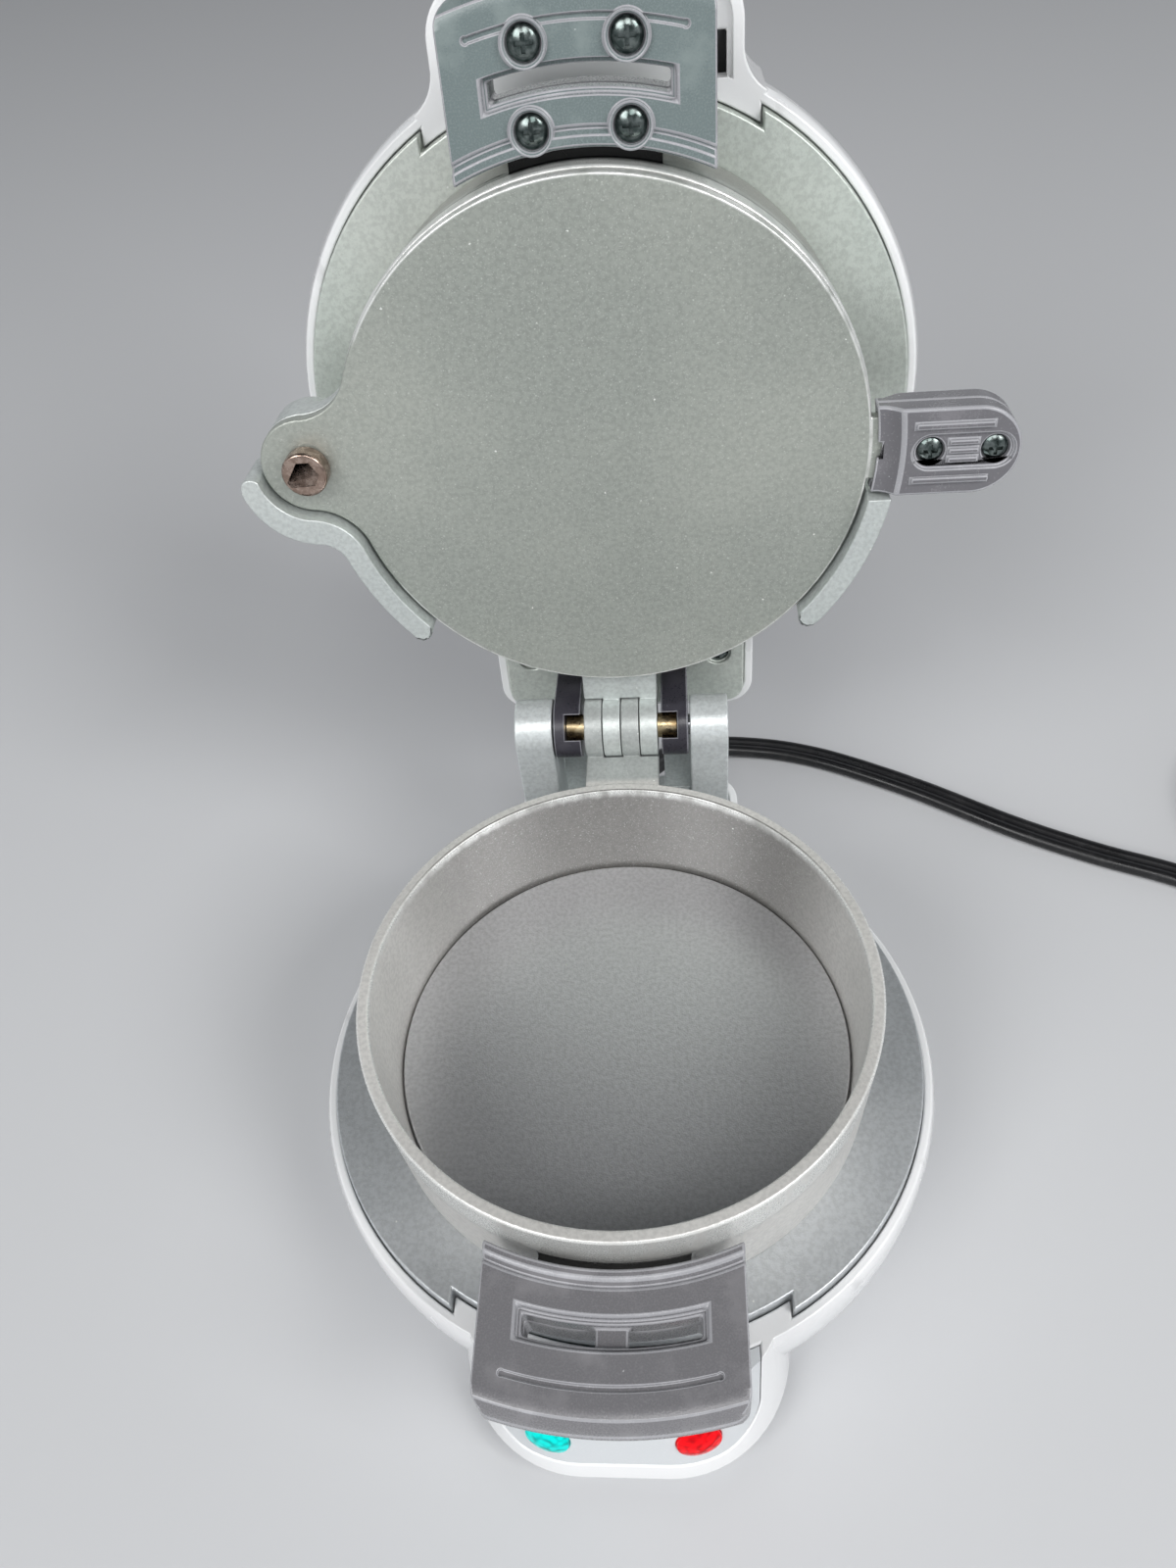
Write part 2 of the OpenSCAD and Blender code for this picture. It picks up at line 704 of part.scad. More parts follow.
module handle_screw_points() for (s = [-1, 1], y = [screw_near, screw_far])
    translate([s * screw_x, -y, 0]) children();

low_lug_z = joint_z - handle_drop - handle_t / 2 - lug_t / 2;
top_lug_z = joint_z + handle_drop + handle_t / 2 - lug_t / 2;

module bottom_ring() color([0.36, 0.37, 0.36]) {
    far = ring_r - ring_draft;
    rotate_extrude() polygon([[far - ring_wall - 0.6, flange_z], [far, flange_z],
        [ring_r, joint_z - 0.4], [ring_r - 0.4, joint_z], [ring_r - ring_wall + 0.4, joint_z],
        [ring_r - ring_wall, joint_z - 0.4]]);
    ring_hinge(0, joint_z - 6.5, joint_z - 1.5);
    ring_lug(low_lug_z, true);
}

// Handle of a ring, drawn with its lip at z = 0 and the rest above: near half, then far half
module handle_plan() {
    c = [handle_half - handle_corner,
        -sqrt(pow(handle_out - handle_corner, 2) - pow(handle_half - handle_corner, 2))];
    difference() {
        translate([-handle_half, -handle_out - 2]) square([2 * handle_half, handle_out]);
        both_sides() corner_waste(c, handle_corner, atan2(c.y, c.x), 0);
    }
}

module handle_solid(profile) intersection() {
    rotate_extrude() polygon(profile);
    translate([0, 0, -5]) linear_extrude(handle_t + 10) handle_plan();
}

pocket_z = handle_t / 2 - lug_t / 2 - fit;
rib_z = pocket_z - 1.1;
module lug_pocket(long) translate([0, 0, pocket_z])
    linear_extrude(lug_t + 2 * fit) lug_plan(fit, long);

// Groove near the outer edge, round at both ends
module handle_groove() {
    mid = groove_r + groove_w / 2;
    intersection() {
        difference() {
            circle(groove_r + groove_w);
            circle(groove_r);
        }
        translate([-groove_half, -handle_out]) square([2 * groove_half, handle_out]);
    }
    for (s = [-1, 1]) translate([s * groove_half, -sqrt(mid * mid - groove_half * groove_half)])
        circle(0.6 * groove_w, $fn = 24);
}

// Near half: the lip, the flat face, the groove and the rounded outer edge.
// The screwed one has bosses round sunk screw heads, the other a rib that hides the metal tongue.
module handle_near(screwed) {
    w = handle_t / 2 - 0.05;
    difference() {
        union() {
            difference() {
                handle_solid([[handle_in, w], [handle_in, 0.5], [handle_in + 0.5, 0], [handle_in + 2, 0],
                    [handle_in + 2.8, face_in + 0.6], [handle_in + 3.4, face_in],
                    [handle_out - 3.4, face_in], [handle_out - 1.4, face_in + 0.8],
                    [handle_out - 0.3, face_in + 2.4], [handle_out, face_in + 4], [handle_out, w]]);
                translate([0, 0, -1]) linear_extrude(ledge_depth + 1) handle_slot(ledge_w);
                translate([0, 0, -1]) linear_extrude(face_in + 1.6) handle_groove();
            }
            if (screwed) handle_screw_points() cylinder(r = boss_r, h = w);
        }
        translate([0, 0, -1]) linear_extrude(w + 2) difference() {
            handle_slot(0);
            if (!screwed) translate([-rib_half, -handle_out]) square([2 * rib_half, handle_out]);
        }
        translate([0, 0, -1]) linear_extrude(rib_z + 1) handle_slot(0);
        translate([0, 0, pocket_z]) linear_extrude(w) handle_slot(0);
        lug_pocket(!screwed);
        handle_screw_points() {
            translate([0, 0, screwed ? -1 : 3]) cylinder(r = screw_r + (screwed ? 0.2 : 0), h = handle_t);
            if (screwed) translate([0, 0, -e]) {
                cylinder(r = sink_r, h = 2 + e);
                cylinder(r1 = sink_rim_r, r2 = sink_r, h = sink_rim_r - sink_r);
            }
        }
    }
}

module handle_far(screwed) {
    w = handle_t / 2 + 0.05;
    difference() {
        handle_solid([[handle_in, w], [handle_in, handle_t - 0.8], [handle_in + 0.8, handle_t],
            [handle_out - 4, handle_t], [handle_out - 1.6, handle_t - 1], [handle_out - 0.4, handle_t - 2.8],
            [handle_out, handle_t - 4.4], [handle_out, w]]);
        translate([0, 0, w - 1]) linear_extrude(handle_t) handle_slot(0);
        lug_pocket(screwed);
        handle_screw_points() {
            if (screwed) translate([0, 0, w - 1]) cylinder(r = screw_r + 0.2, h = handle_t);
            else translate([0, 0, w - 1]) cylinder(r = screw_r, h = 4.4);
            if (screwed) translate([0, 0, handle_t - 2]) cylinder(r = sink_r, h = 3);
        }
    }
}

// Heads sit two millimetres inside the face that carries them
module handle_screw_set(length) handle_screw_points()
    translate([0, 0, 2]) cross_screw(2.8, 1.7, screw_r - 0.05, length);

module low_handle() translate([0, 0, joint_z - handle_drop]) mirror([0, 0, 1]) children();
module top_handle() opened() translate([0, 0, joint_z + handle_drop]) children();

module bottom_handle_upper() color([0.11, 0.11, 0.12]) low_handle() handle_near(false);
module bottom_handle_lower() color([0.11, 0.11, 0.12]) low_handle() handle_far(true);
module bottom_handle_screws() color([0.25, 0.25, 0.26]) low_handle()
    translate([0, 0, handle_t]) mirror([0, 0, 1]) handle_screw_set(7);

// Pivot lug and the lips that the cooking plate closes against

module blend_circles(ra, p, rb, rf) {
    f = [for (s = [-1, 1]) meet([0, 0], ra + rf, p, rb + rf, s)];
    difference() {
        polygon([[0, 0], f[0], p, f[1]]);
        for (c = f) translate(c) circle(rf + 0.05);
    }
}

module plate_outline(grow) {
    circle(plate_r + grow);
    translate(pivot) circle(ear_r + grow);
    blend_circles(plate_r + grow, pivot, ear_r + grow, ear_fillet - grow);
}

lip_low = joint_z - 2.6;
lip_w = 4.6;
lip_gap = 0.7;
lip_mid_r = plate_r + lip_gap + lip_w / 2;
lip_ear_r = 15.4;
lip_end = 40.8;
lip_tip = 165;
module lip_outside() {
    c = pivot + [0.6, 1.2];
    circle(plate_r + lip_gap + lip_w);
    translate(c) circle(lip_ear_r);
    blend_circles(plate_r + lip_gap + lip_w, c, lip_ear_r, 6);
}
module lip_zones() {
    away = 2 * ring_r;
    inside = ring_r - 12;
    beside = plate_handle_half + 0.8;
    polygon([polar(inside, 180 - lip_end), polar(away, 180 - lip_end), pivot + polar(ring_r, lip_tip),
        pivot + polar(5, lip_tip)]);
    polygon([polar(inside, lip_end), polar(away, lip_end), [away, beside], [inside, beside]]);
    translate(pivot + polar(ear_r + lip_gap + 2, lip_tip)) circle(2.2);
    for (a = [lip_end, 180 - lip_end]) translate(polar(lip_mid_r, a)) circle(lip_w / 2);
}

module top_ring() color([0.36, 0.37, 0.36]) opened() {
    far = ring_r - ring_draft;
    rotate_extrude() polygon([[far - ring_wall - 0.6, top_ring_end], [far, top_ring_end],
        [ring_r, top_rim_z + 0.4], [ring_r - 0.4, top_rim_z], [ring_r - ring_wall + 0.4, top_rim_z],
        [ring_r - ring_wall, top_rim_z + 0.4]]);
    ring_hinge(1, top_rim_z + 1, top_rim_z + 6);
    ring_lug(top_lug_z, false);
    difference() {
        union() {
            translate([0, 0, lip_low]) linear_extrude(top_rim_z + 5 - lip_low) intersection() {
                difference() {
                    lip_outside();
                    plate_outline(lip_gap);
                }
                lip_zones();
            }
            translate([0, 0, top_rim_z]) linear_extrude(5) intersection() {
                lip_outside();
                lip_zones();
            }
            translate([0, 0, top_rim_z]) linear_extrude(9) plate_outline(0);
        }
        translate([0, 0, top_rim_z - e]) cylinder(r = ring_r - ring_wall / 2, h = 12);
        translate([0, 0, top_rim_z + 9 - 4]) linear_extrude(9) difference() {
            circle(ring_r + 20);
            translate(pivot) circle(ear_r);
            circle(ring_r);
        }
        translate(concat(pivot, top_rim_z - e)) cylinder(r = pivot_shank_r + 0.05, h = 7.6);
    }
}

module top_handle_lower() color([0.11, 0.11, 0.12]) top_handle() handle_near(true);
module top_handle_upper() color([0.11, 0.11, 0.12]) top_handle() handle_far(false);
module top_handle_screws() color([0.25, 0.25, 0.26]) top_handle() handle_screw_set(7);

module pivot_screw() color([0.35, 0.3, 0.26]) opened()
    translate(concat(pivot, plate_low - fit)) difference() {
        union() {
            translate([0, 0, -pivot_head_h]) cylinder(r = pivot_head_r, h = pivot_head_h);
            translate([0, 0, -e]) cylinder(r = pivot_shank_r, h = plate_t + run + fit + 7);
        }
        translate([0, 0, -pivot_head_h - e]) cylinder(r = pivot_head_r * 0.5, h = 2.6, $fn = 6);
    }
module pivot_washer() color([0.7, 0.7, 0.7]) opened()
    translate(concat(pivot, plate_top + 0.05)) tube(7, pivot_shank_r + 0.2, run - 0.1);

// Cooking plate and its handle
module cooking_plate() color([0.38, 0.4, 0.39]) opened() difference() {
    translate([0, 0, plate_low]) linear_extrude(plate_t) {
        plate_outline(0);
        translate([plate_r - 4, -tongue_half]) square([tongue_end - plate_r + 4, 2 * tongue_half]);
    }
    translate(concat(pivot, plate_low - e)) cylinder(r = pivot_shank_r + fit, h = plate_t + 2 * e);
    for (x = plate_screws) translate([x, 0, plate_low - e]) cylinder(r = screw_r + 0.2, h = plate_t + 2 * e);
}

module plate_handle_plan(inset) {
    c = plate_handle_reach - plate_handle_half;
    translate([0, -plate_handle_half + inset]) square([c, 2 * plate_handle_half - 2 * inset]);
    translate([c, 0]) circle(plate_handle_half - inset);
}

plate_mid = plate_low + plate_t / 2;
handle_end = plate_handle_reach + 8;
module tongue_pocket() translate([plate_r - 4, -tongue_half - fit, plate_low - fit])
    cube([tongue_end - plate_r + 4 + fit, 2 * tongue_half + 2 * fit, plate_t + 2 * fit]);

// Lower half, the face with the screws, ribs and the step beside the plate
module plate_handle_lower() color([0.13, 0.13, 0.14]) opened() difference() {
    union() {
        intersection() {
            rotate_extrude() polygon([[step_in, plate_mid - 0.05], [step_in, plate_low - 1],
                [neck_in, plate_low - 1], [neck_in + 1.4, handle_low + 1.4], [neck_out, handle_low],
                [handle_end, handle_low], [handle_end, plate_mid - 0.05]]);
            translate([0, 0, handle_low - 5]) linear_extrude(20) plate_handle_plan(0);
        }
        for (y = [-5.6, 5.6]) translate([neck_out + 2, y - 0.6, handle_low - 0.8])
            cube([plate_screws[1] - neck_out - 3, 1.2, 1.2]);
    }
    tongue_pocket();
    translate([0, 0, handle_low - 1]) linear_extrude(1.8) difference() {
        hull() for (x = plate_screws) translate([x, 0]) circle(3.6, $fn = 32);
        for (y = [-1.8, 0, 1.8]) translate([plate_screws[0] + 3.4, y - 0.5])
            square([plate_screws[1] - plate_screws[0] - 6.8, 1]);
    }
    for (x = plate_screws) translate([x, 0, handle_low - 1]) {
        cylinder(r = screw_r + 0.2, h = 9);
        cylinder(r = 2.8, h = 3);
    }
    translate([step_in - 1, -1.6, plate_low - 3]) cube([1.8, 3.2, 6]);
}
module plate_handle_upper() color([0.13, 0.13, 0.14]) opened() difference() {
    intersection() {
        rotate_extrude() polygon([[step_in, plate_mid + 0.05], [step_in, plate_top + 1],
            [neck_in, plate_top + 1], [neck_out, handle_low + plate_handle_t],
            [handle_end, handle_low + plate_handle_t], [handle_end, plate_mid + 0.05]]);
        translate([0, 0, plate_mid]) linear_extrude(20) plate_handle_plan(0);
    }
    tongue_pocket();
    for (x = plate_screws) translate([x, 0, plate_mid]) cylinder(r = screw_r, h = plate_handle_t / 2 - 1);
}
module plate_handle_screws() color([0.25, 0.25, 0.26]) opened() for (x = plate_screws)
    translate([x, 0, handle_low + 2]) cross_screw(2.5, 1.5, screw_r - 0.05, plate_handle_t - 3.6);

// Cover, drawn like the base and turned over
cover_tab_low = 9;
cover_nose_low = 8;
nose_slots = [24.8, -sqrt(pow(trim_r + 7.3, 2) - 24.8 * 24.8)];

module cover_nose_plan(inset) {
    rounded_plan(cover_nose_half - inset, -cover_nose_front + inset, 0, cover_nose_corner - inset);
    if (inset == 0) both_sides() {
        f = [cover_nose_half + cover_nose_fillet,
            -sqrt(pow(body_r + cover_nose_fillet, 2) - pow(cover_nose_half + cover_nose_fillet, 2))];
        difference() {
            polygon([[0, 0], [cover_nose_half - 1, f.y], f, f * 0.9]);
            translate(f) circle(cover_nose_fillet + 0.05);
        }
    }
}

module cover_shell() color([0.86, 0.87, 0.88]) flipped() {
    difference() {
        union() {
            bowl_outside(cover_low_r, 0);
            translate([0, 0, cover_tab_low]) linear_extrude(rim_z - cover_tab_low)
                rounded_plan(cover_tab_half, 20, tab_back, cover_tab_corner);
            translate([0, 0, cover_nose_low]) linear_extrude(rim_z - cover_nose_low) cover_nose_plan(0);
        }
        shell_cavity(cover_low_r, 0, cover_tab_half, cover_tab_corner, cover_tab_low);
        translate([0, 0, cover_nose_low + shell_wall])
            linear_extrude(rim_z - nose_floor - cover_nose_low - 2 * shell_wall)
                cover_nose_plan(shell_wall);
        translate([0, 0, rim_z - nose_floor]) linear_extrude(10) difference() {
            cover_nose_plan(shell_wall);
            circle(trim_r + bar_w);
        }
        for (s = [-1, 1]) translate([s * nose_slots.x - 1.5, nose_slots.y - 3.6, 20]) cube([3, 7.2, 20]);
    }
    translate([0, 0, grip_mid - tongue_t / 2]) difference() {
        translate([-tongue_w, grip_screws[1] - 6, 0])
            cube([2 * tongue_w, -grip_screws[1] + 6 - cover_nose_front + shell_wall, tongue_t]);
        for (y = grip_screws) translate([0, y, -e]) cylinder(r = screw_r + 0.2, h = tongue_t + 2 * e);
    }
    for (s = [-1, 1]) translate([s * tab_screw.x, tab_screw.y, cover_tab_low + shell_wall - e])
        tube(4, screw_r, flange_z - flange_t - cover_tab_low - shell_wall - fit);
}
tab_screw = [24, hinge_y - 3];

module upper_heating_plate() color([0.33, 0.36, 0.36]) flipped() difference() {
    heating_plate(cover_tab_half, cover_tab_corner);
    for (s = [-1, 1]) translate([s * tab_screw.x, tab_screw.y, 20]) {
        cylinder(r = screw_r + 0.2, h = 30);
        translate([0, 0, flange_z - 20 - 1]) cylinder(r = 3.2, h = 5);
    }
    for (s = [-1, 1], y = [-4, 4]) translate([s * (arm_in + arm_w / 2), hinge_y + y, 20])
        cylinder(r = screw_r + 0.2, h = 30);
}
module upper_element() color([0.55, 0.55, 0.56]) flipped() element();
module upper_reflector() color([0.75, 0.76, 0.78]) flipped() reflector();
module upper_reflector_screws() color([0.6, 0.6, 0.62]) flipped() post_screws();
module cover_thermal_fuse() color([0.9, 0.88, 0.8]) flipped() fuse();
module cover_wires() color([0.9, 0.9, 0.88]) flipped() {
    z = reflector_z - reflector_t - 2.3;
    for (s = [-1, 1]) wire([[s * pin_tip.x, pin_tip.y, pin_z - 0.4], [s * pin_tip.x, pin_tip.y, pin_z - 2],
        [s * (pin_tip.x - 1), pin_tip.y + 10, 13.5],
        [s * 6, hinge_y - 11.6, 18], [s * 5, tab_back - 6, 24]]);
    wire([[13.9, -16, z], [18, -12, z - 2], [20, 6, 14], [17, 24, 13.5],
        [pin_tip.x + 2.4, pin_tip.y - 2.4, 14]]);
}
module cover_plate_screws() color([0.6, 0.6, 0.62]) flipped() for (s = [-1, 1])
    translate([s * tab_screw.x, tab_screw.y, flange_z - 1]) mirror([0, 0, 1])
        cross_screw(2.9, 1, screw_r - 0.05, 9);

arm_top = upper_flange_z;
module hinge_arm() color([0.1, 0.1, 0.11]) opened() difference() {
    union() {
        translate([arm_in, hinge_y, hinge_z]) rotate([0, 90, 0]) cylinder(r = knuckle_r, h = arm_w);
        translate([arm_in, hinge_y - flank, hinge_z]) cube([arm_w, 2 * flank, arm_top - hinge_z]);
    }
    translate([arm_in - e, hinge_y, hinge_z]) {
        rotate([0, 90, 0]) cylinder(r = ring_pin_r + fit, h = recess_d + 0.2);
        rotate([135 + open_angle, 0, 0])
            translate([0, 0, -ring_pin_r - fit / 2]) cube([recess_d, 2 * knuckle_r, 2 * ring_pin_r + fit]);
        rotate([0, 90, 0]) cylinder(r = cover_pin_r + fit, h = arm_w + 1);
    }
    for (y = [-4, 4]) translate([arm_in + arm_w / 2, hinge_y + y, arm_top - 12])
        cylinder(r = screw_r, h = 13);
}
module hinge_arm_right() hinge_arm();
module hinge_arm_left() mirror([1, 0, 0]) hinge_arm();
module hinge_arm_screws() color([0.6, 0.6, 0.62]) flipped() for (s = [-1, 1], y = [-4, 4])
    translate([s * (arm_in + arm_w / 2), hinge_y + y, flange_z - flange_t - fit])
        cross_screw(2.8, 1.6, screw_r - 0.05, flange_t + 10);

// Grip: two half shells clamped on the tongue of the cover's nose
module grip_plan() {
    root = -cover_nose_front - 0.2;
    square_end = grip_front - 9;
    polygon([[-grip_half, root], [-grip_half, root - 6], [-grip_end_half, -square_end],
        [grip_end_half, -square_end], [grip_half, root - 6], [grip_half, root]]);
    intersection() {
        translate([0, -grip_front + 30]) circle(30);
        translate([-grip_end_half, -grip_front - 5]) square([2 * grip_end_half, 16]);
    }
}
module grip_half_shell(screwed) difference() {
    intersection() {
        translate([0, 0, 0.05]) linear_extrude(grip_t / 2) grip_plan();
        translate([0, 0, grip_t / 2 - 110]) rotate([90, 0, 0]) cylinder(r = 110, h = 200);
    }
    translate([-tongue_w - fit, grip_screws[1] - 6 - fit, -tongue_t / 2 - fit])
        cube([2 * tongue_w + 2 * fit, 80, tongue_t + 2 * fit]);
    for (y = grip_screws) translate([0, y, -1]) {
        cylinder(r = screw_r + (screwed ? 0.2 : 0), h = screwed ? 20 : grip_t / 2 - 0.6);
        if (screwed) translate([0, 0, grip_t / 2 - 1.4]) cylinder(r = 3.6, h = 5);
    }
}
module cover_grip_lower() color([0.11, 0.11, 0.12]) flipped()
    translate([0, 0, grip_mid]) grip_half_shell(true);
module cover_grip_upper() color([0.11, 0.11, 0.12]) flipped()
    translate([0, 0, grip_mid]) mirror([0, 0, 1]) grip_half_shell(false);
module cover_grip_screws() color([0.25, 0.25, 0.26]) flipped() for (y = grip_screws)
    translate([0, y, grip_mid + grip_t / 2 - 2.4]) mirror([0, 0, 1])
        cross_screw(3.1, 1.7, screw_r - 0.05, grip_t - 6);

// Mains lead
gland_flange = 1.5;
boot_r = 4.4;
ball_r = 6;
knuckle_out = gland_flange + ball_r - 1.2;
exit_dir = [cos(boot_drop) * cos(exit_turn), cos(boot_drop) * sin(exit_turn), -sin(boot_drop)];
boot_start = exit + [0, knuckle_out, 0];
boot_end = boot_start + boot_l * exit_dir;
module cord_strain_relief() color([0.08, 0.08, 0.08]) {
    translate(boot_start) {
        rotate([90, 0, 0]) cylinder(r = gland_r, h = knuckle_out + shell_wall + 2);
        sphere(ball_r);
        rotate([0, 90 + boot_drop, exit_turn]) cylinder(r1 = boot_r, r2 = boot_r - 0.6, h = boot_l);
    }
    translate([exit.x, tab_back + gland_flange + fit, exit.z]) rotate([90, 0, 0])
        cylinder(r = 7, h = gland_flange);
}

coil_end = coil_start + 360 * coil_turns;
plug_tail = 30;
half = coil_turns / 2;
function coil_reach(t) = coil_r - coil_pitch * (t < half ? t : coil_turns - t);
function climb(t) = let (k = min(max((t - half + 0.25) / 0.5, 0), 1)) k * k * (3 - 2 * k);
function coil_point(t) =
    let (a = coil_start + 360 * t)
    concat(coil_centre + polar(coil_reach(t), a), coil_z + layer_h * climb(t));
function along(a) = [-sin(a), cos(a), 0];
coil_in = coil_point(0) - cord_w * along(coil_start);
coil_out = coil_point(coil_turns) + plug_tail * along(coil_end);
coil_steps = round(24 * coil_turns);
coil_path = concat([coil_in],
    [for (i = [0:coil_steps]) coil_point(coil_turns * i / coil_steps)], [coil_out]);

// Route on the table, sideways and back from the exit, and its height
route = [[21, 31.5, 6.6], [29.5, 35.2, 4.2], [39, 36.2, 2.6], [52, 34.5, 1.9], [67, 29.2, 1.8],
    [89, 17.8, 1.8], [114, 2.6, 1.8], [134, -7.4, 1.8], [153, -15.4, 1.9], [168, -24.4, 2.4]];
lead_points = concat([boot_end + cord_w * exit_dir],
    [for (p = route) [exit.x + p.x, exit.y + p.y, p.z]], [coil_in - cord_w * along(coil_start)]);
module power_cord() color([0.07, 0.07, 0.07])
    sweep(concat([boot_end], smooth(lead_points, 3), [coil_in]), cord_w, cord_t, 8);
module cord_coil() color([0.07, 0.07, 0.07]) sweep(coil_path, cord_w, cord_t, 6);

// Least gap between turns that lie near each other, measured on the tube's own points
coil_rings = [for (i = [0:len(coil_path) - 1])
    ring_at(coil_path[i], heading(coil_path, i), cord_w, cord_t, 6)];
coil_gap = min([for (i = [0:len(coil_path) - 1], j = [i + 12:1:len(coil_path) - 1])
    if (norm(coil_path[i] - coil_path[j]) < 3 * cord_w)
        min([for (p = coil_rings[i], q = coil_rings[j]) norm(p - q)])]);
echo(coil_gap = coil_gap);

tie_turn = 200 / 360;
module cord_tie() color([0.15, 0.15, 0.16])
    translate(concat(coil_centre, 0)) rotate(coil_start + 360 * tie_turn) {
    held = [coil_reach(tie_turn), coil_reach(tie_turn + 1)];
    inner = min(held) - cord_w / 2 - 0.5;
    outer = max(held) + cord_w / 2 + 0.5;
    difference() {
        translate([inner - tie_t, -2, 0])
            cube([outer - inner + 2 * tie_t, 4, coil_z + layer_h + cord_t / 2 + 0.4 + tie_t]);
        translate([inner, -3, tie_t]) cube([outer - inner, 6, coil_z + layer_h + cord_t / 2 + 0.4 - tie_t]);
    }
}

plug_l = 32;
plug_half = 12;
plug_z = coil_point(coil_turns).z;
blade_gap = 12.7;
module at_plug() translate(coil_out) rotate(coil_end + 90) children();
module plug_body() color([0.07, 0.07, 0.07]) at_plug() difference() {
    hull() {
        translate([0, -cord_w / 2 - 1, -3]) cube([1, cord_w + 2, 6]);
        for (s = [-1, 1], x = [14, plug_l - 3]) translate([x, s * (plug_half - 3), -plug_z])
            cylinder(r = 3, h = 2 * plug_z, $fn = 32);
    }
    for (s = [-1, 1]) translate([plug_l - 5, s * blade_gap / 2 - 0.85, -3.3]) cube([6, 1.7, 6.6]);
}
module plug_blades() color([0.75, 0.74, 0.7]) at_plug() for (s = [-1, 1]) difference() {
    translate([plug_l - 4.9, s * blade_gap / 2 - 0.75, -3.2]) cube([21, 1.5, 6.4]);
    translate([plug_l + 12, s * blade_gap / 2 - 1, 0]) rotate([-90, 0, 0]) cylinder(r = 1.4, h = 2);
}

base_shell();
bottom_cover();
rubber_feet();
bottom_screws();
lower_heating_plate();
lower_element();
lower_reflector();
reflector_screws();
thermostat();
base_thermal_fuse();
terminal_block();
base_wires();
nose_panel();
preheat_lens();
power_lens();
neon_lamps();
lamp_holder();
cover_pins();
ring_pin();
bottom_ring();
bottom_handle_upper();
bottom_handle_lower();
bottom_handle_screws();
cord_strain_relief();
power_cord();
cord_coil();
cord_tie();
plug_body();
plug_blades();
cover_shell();
upper_heating_plate();
upper_element();
upper_reflector();
upper_reflector_screws();
cover_thermal_fuse();
cover_wires();
cover_plate_screws();
hinge_arm_left();
hinge_arm_right();
hinge_arm_screws();
cover_grip_upper();
cover_grip_lower();
cover_grip_screws();
top_ring();
top_handle_upper();
top_handle_lower();
top_handle_screws();
pivot_screw();
pivot_washer();
cooking_plate();
plate_handle_upper();
plate_handle_lower();
plate_handle_screws();
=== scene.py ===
import itertools
import json
import math

import bmesh
import bpy
from mathutils import Matrix, Vector
from mathutils.kdtree import KDTree

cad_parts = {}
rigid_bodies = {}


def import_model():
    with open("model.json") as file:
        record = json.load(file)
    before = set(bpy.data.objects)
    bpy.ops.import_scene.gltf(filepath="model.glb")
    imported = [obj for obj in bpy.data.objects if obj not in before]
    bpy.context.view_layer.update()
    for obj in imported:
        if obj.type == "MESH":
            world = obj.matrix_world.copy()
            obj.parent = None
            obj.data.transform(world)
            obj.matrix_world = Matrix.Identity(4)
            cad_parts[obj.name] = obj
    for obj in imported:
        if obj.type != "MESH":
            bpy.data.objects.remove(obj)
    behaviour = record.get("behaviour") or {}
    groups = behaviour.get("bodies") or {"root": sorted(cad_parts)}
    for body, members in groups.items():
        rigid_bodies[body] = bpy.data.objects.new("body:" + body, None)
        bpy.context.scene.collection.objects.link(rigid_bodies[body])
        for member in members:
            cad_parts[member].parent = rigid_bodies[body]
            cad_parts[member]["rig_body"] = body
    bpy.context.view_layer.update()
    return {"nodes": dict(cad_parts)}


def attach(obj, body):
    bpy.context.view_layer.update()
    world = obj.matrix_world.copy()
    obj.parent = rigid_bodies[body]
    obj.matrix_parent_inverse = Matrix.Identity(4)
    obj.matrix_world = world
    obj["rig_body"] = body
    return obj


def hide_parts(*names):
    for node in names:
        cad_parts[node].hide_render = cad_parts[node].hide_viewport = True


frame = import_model()

# Camera: a phone is held in front of the open appliance, a little to its right and about
# 27 cm above the table. Its wide lens takes in both heating plates and most of the top handle.
camera = bpy.data.objects.new("camera", bpy.data.cameras.new("camera"))
bpy.context.scene.collection.objects.link(camera)
bpy.context.scene.camera = camera
camera.data.sensor_width = 36
camera.data.lens = 27
camera.data.clip_start = 0.01
camera.data.clip_end = 20
camera_place = (0.01563, -0.12994, 0.26872)
camera_heading = math.radians(7.305)
camera_dip = math.radians(48.141)
camera_roll = math.radians(-6.925)
camera.matrix_world = (Matrix.Translation(camera_place) @ Matrix.Rotation(camera_heading, 4, "Z")
                       @ Matrix.Rotation(math.radians(90) - camera_dip, 4, "X")
                       @ Matrix.Rotation(camera_roll, 4, "Z"))


# Mains lead: a flat twin flex, two stranded cores in one black PVC sheath with a groove between
# them. It runs from the boot at the back along the table, and the spare length lies in a coil.
class Wire:
    """A value in a finish. A sum written with it adds the Math nodes that work it out."""

    def __init__(self, finish, socket):
        self.finish = finish
        self.socket = socket

    def maths(self, operation, first, second=0.0):
        return self.finish.node("ShaderNodeMath", {"operation": operation}, {0: first, 1: second})

    def __add__(self, other):
        return self.maths("ADD", self, other)

    def __radd__(self, other):
        return self.maths("ADD", other, self)

    def __sub__(self, other):
        return self.maths("SUBTRACT", self, other)

    def __rsub__(self, other):
        return self.maths("SUBTRACT", other, self)

    def __mul__(self, other):
        return self.maths("MULTIPLY", self, other)

    def __rmul__(self, other):
        return self.maths("MULTIPLY", other, self)

    def __pow__(self, other):
        return self.maths("POWER", self, other)

    def __lt__(self, other):
        return self.maths("LESS_THAN", self, other)

    def __abs__(self):
        return self.maths("ABSOLUTE", self)


cover_axis = Vector((0, 0.0696, 0.065))
open_angle = math.radians(98)


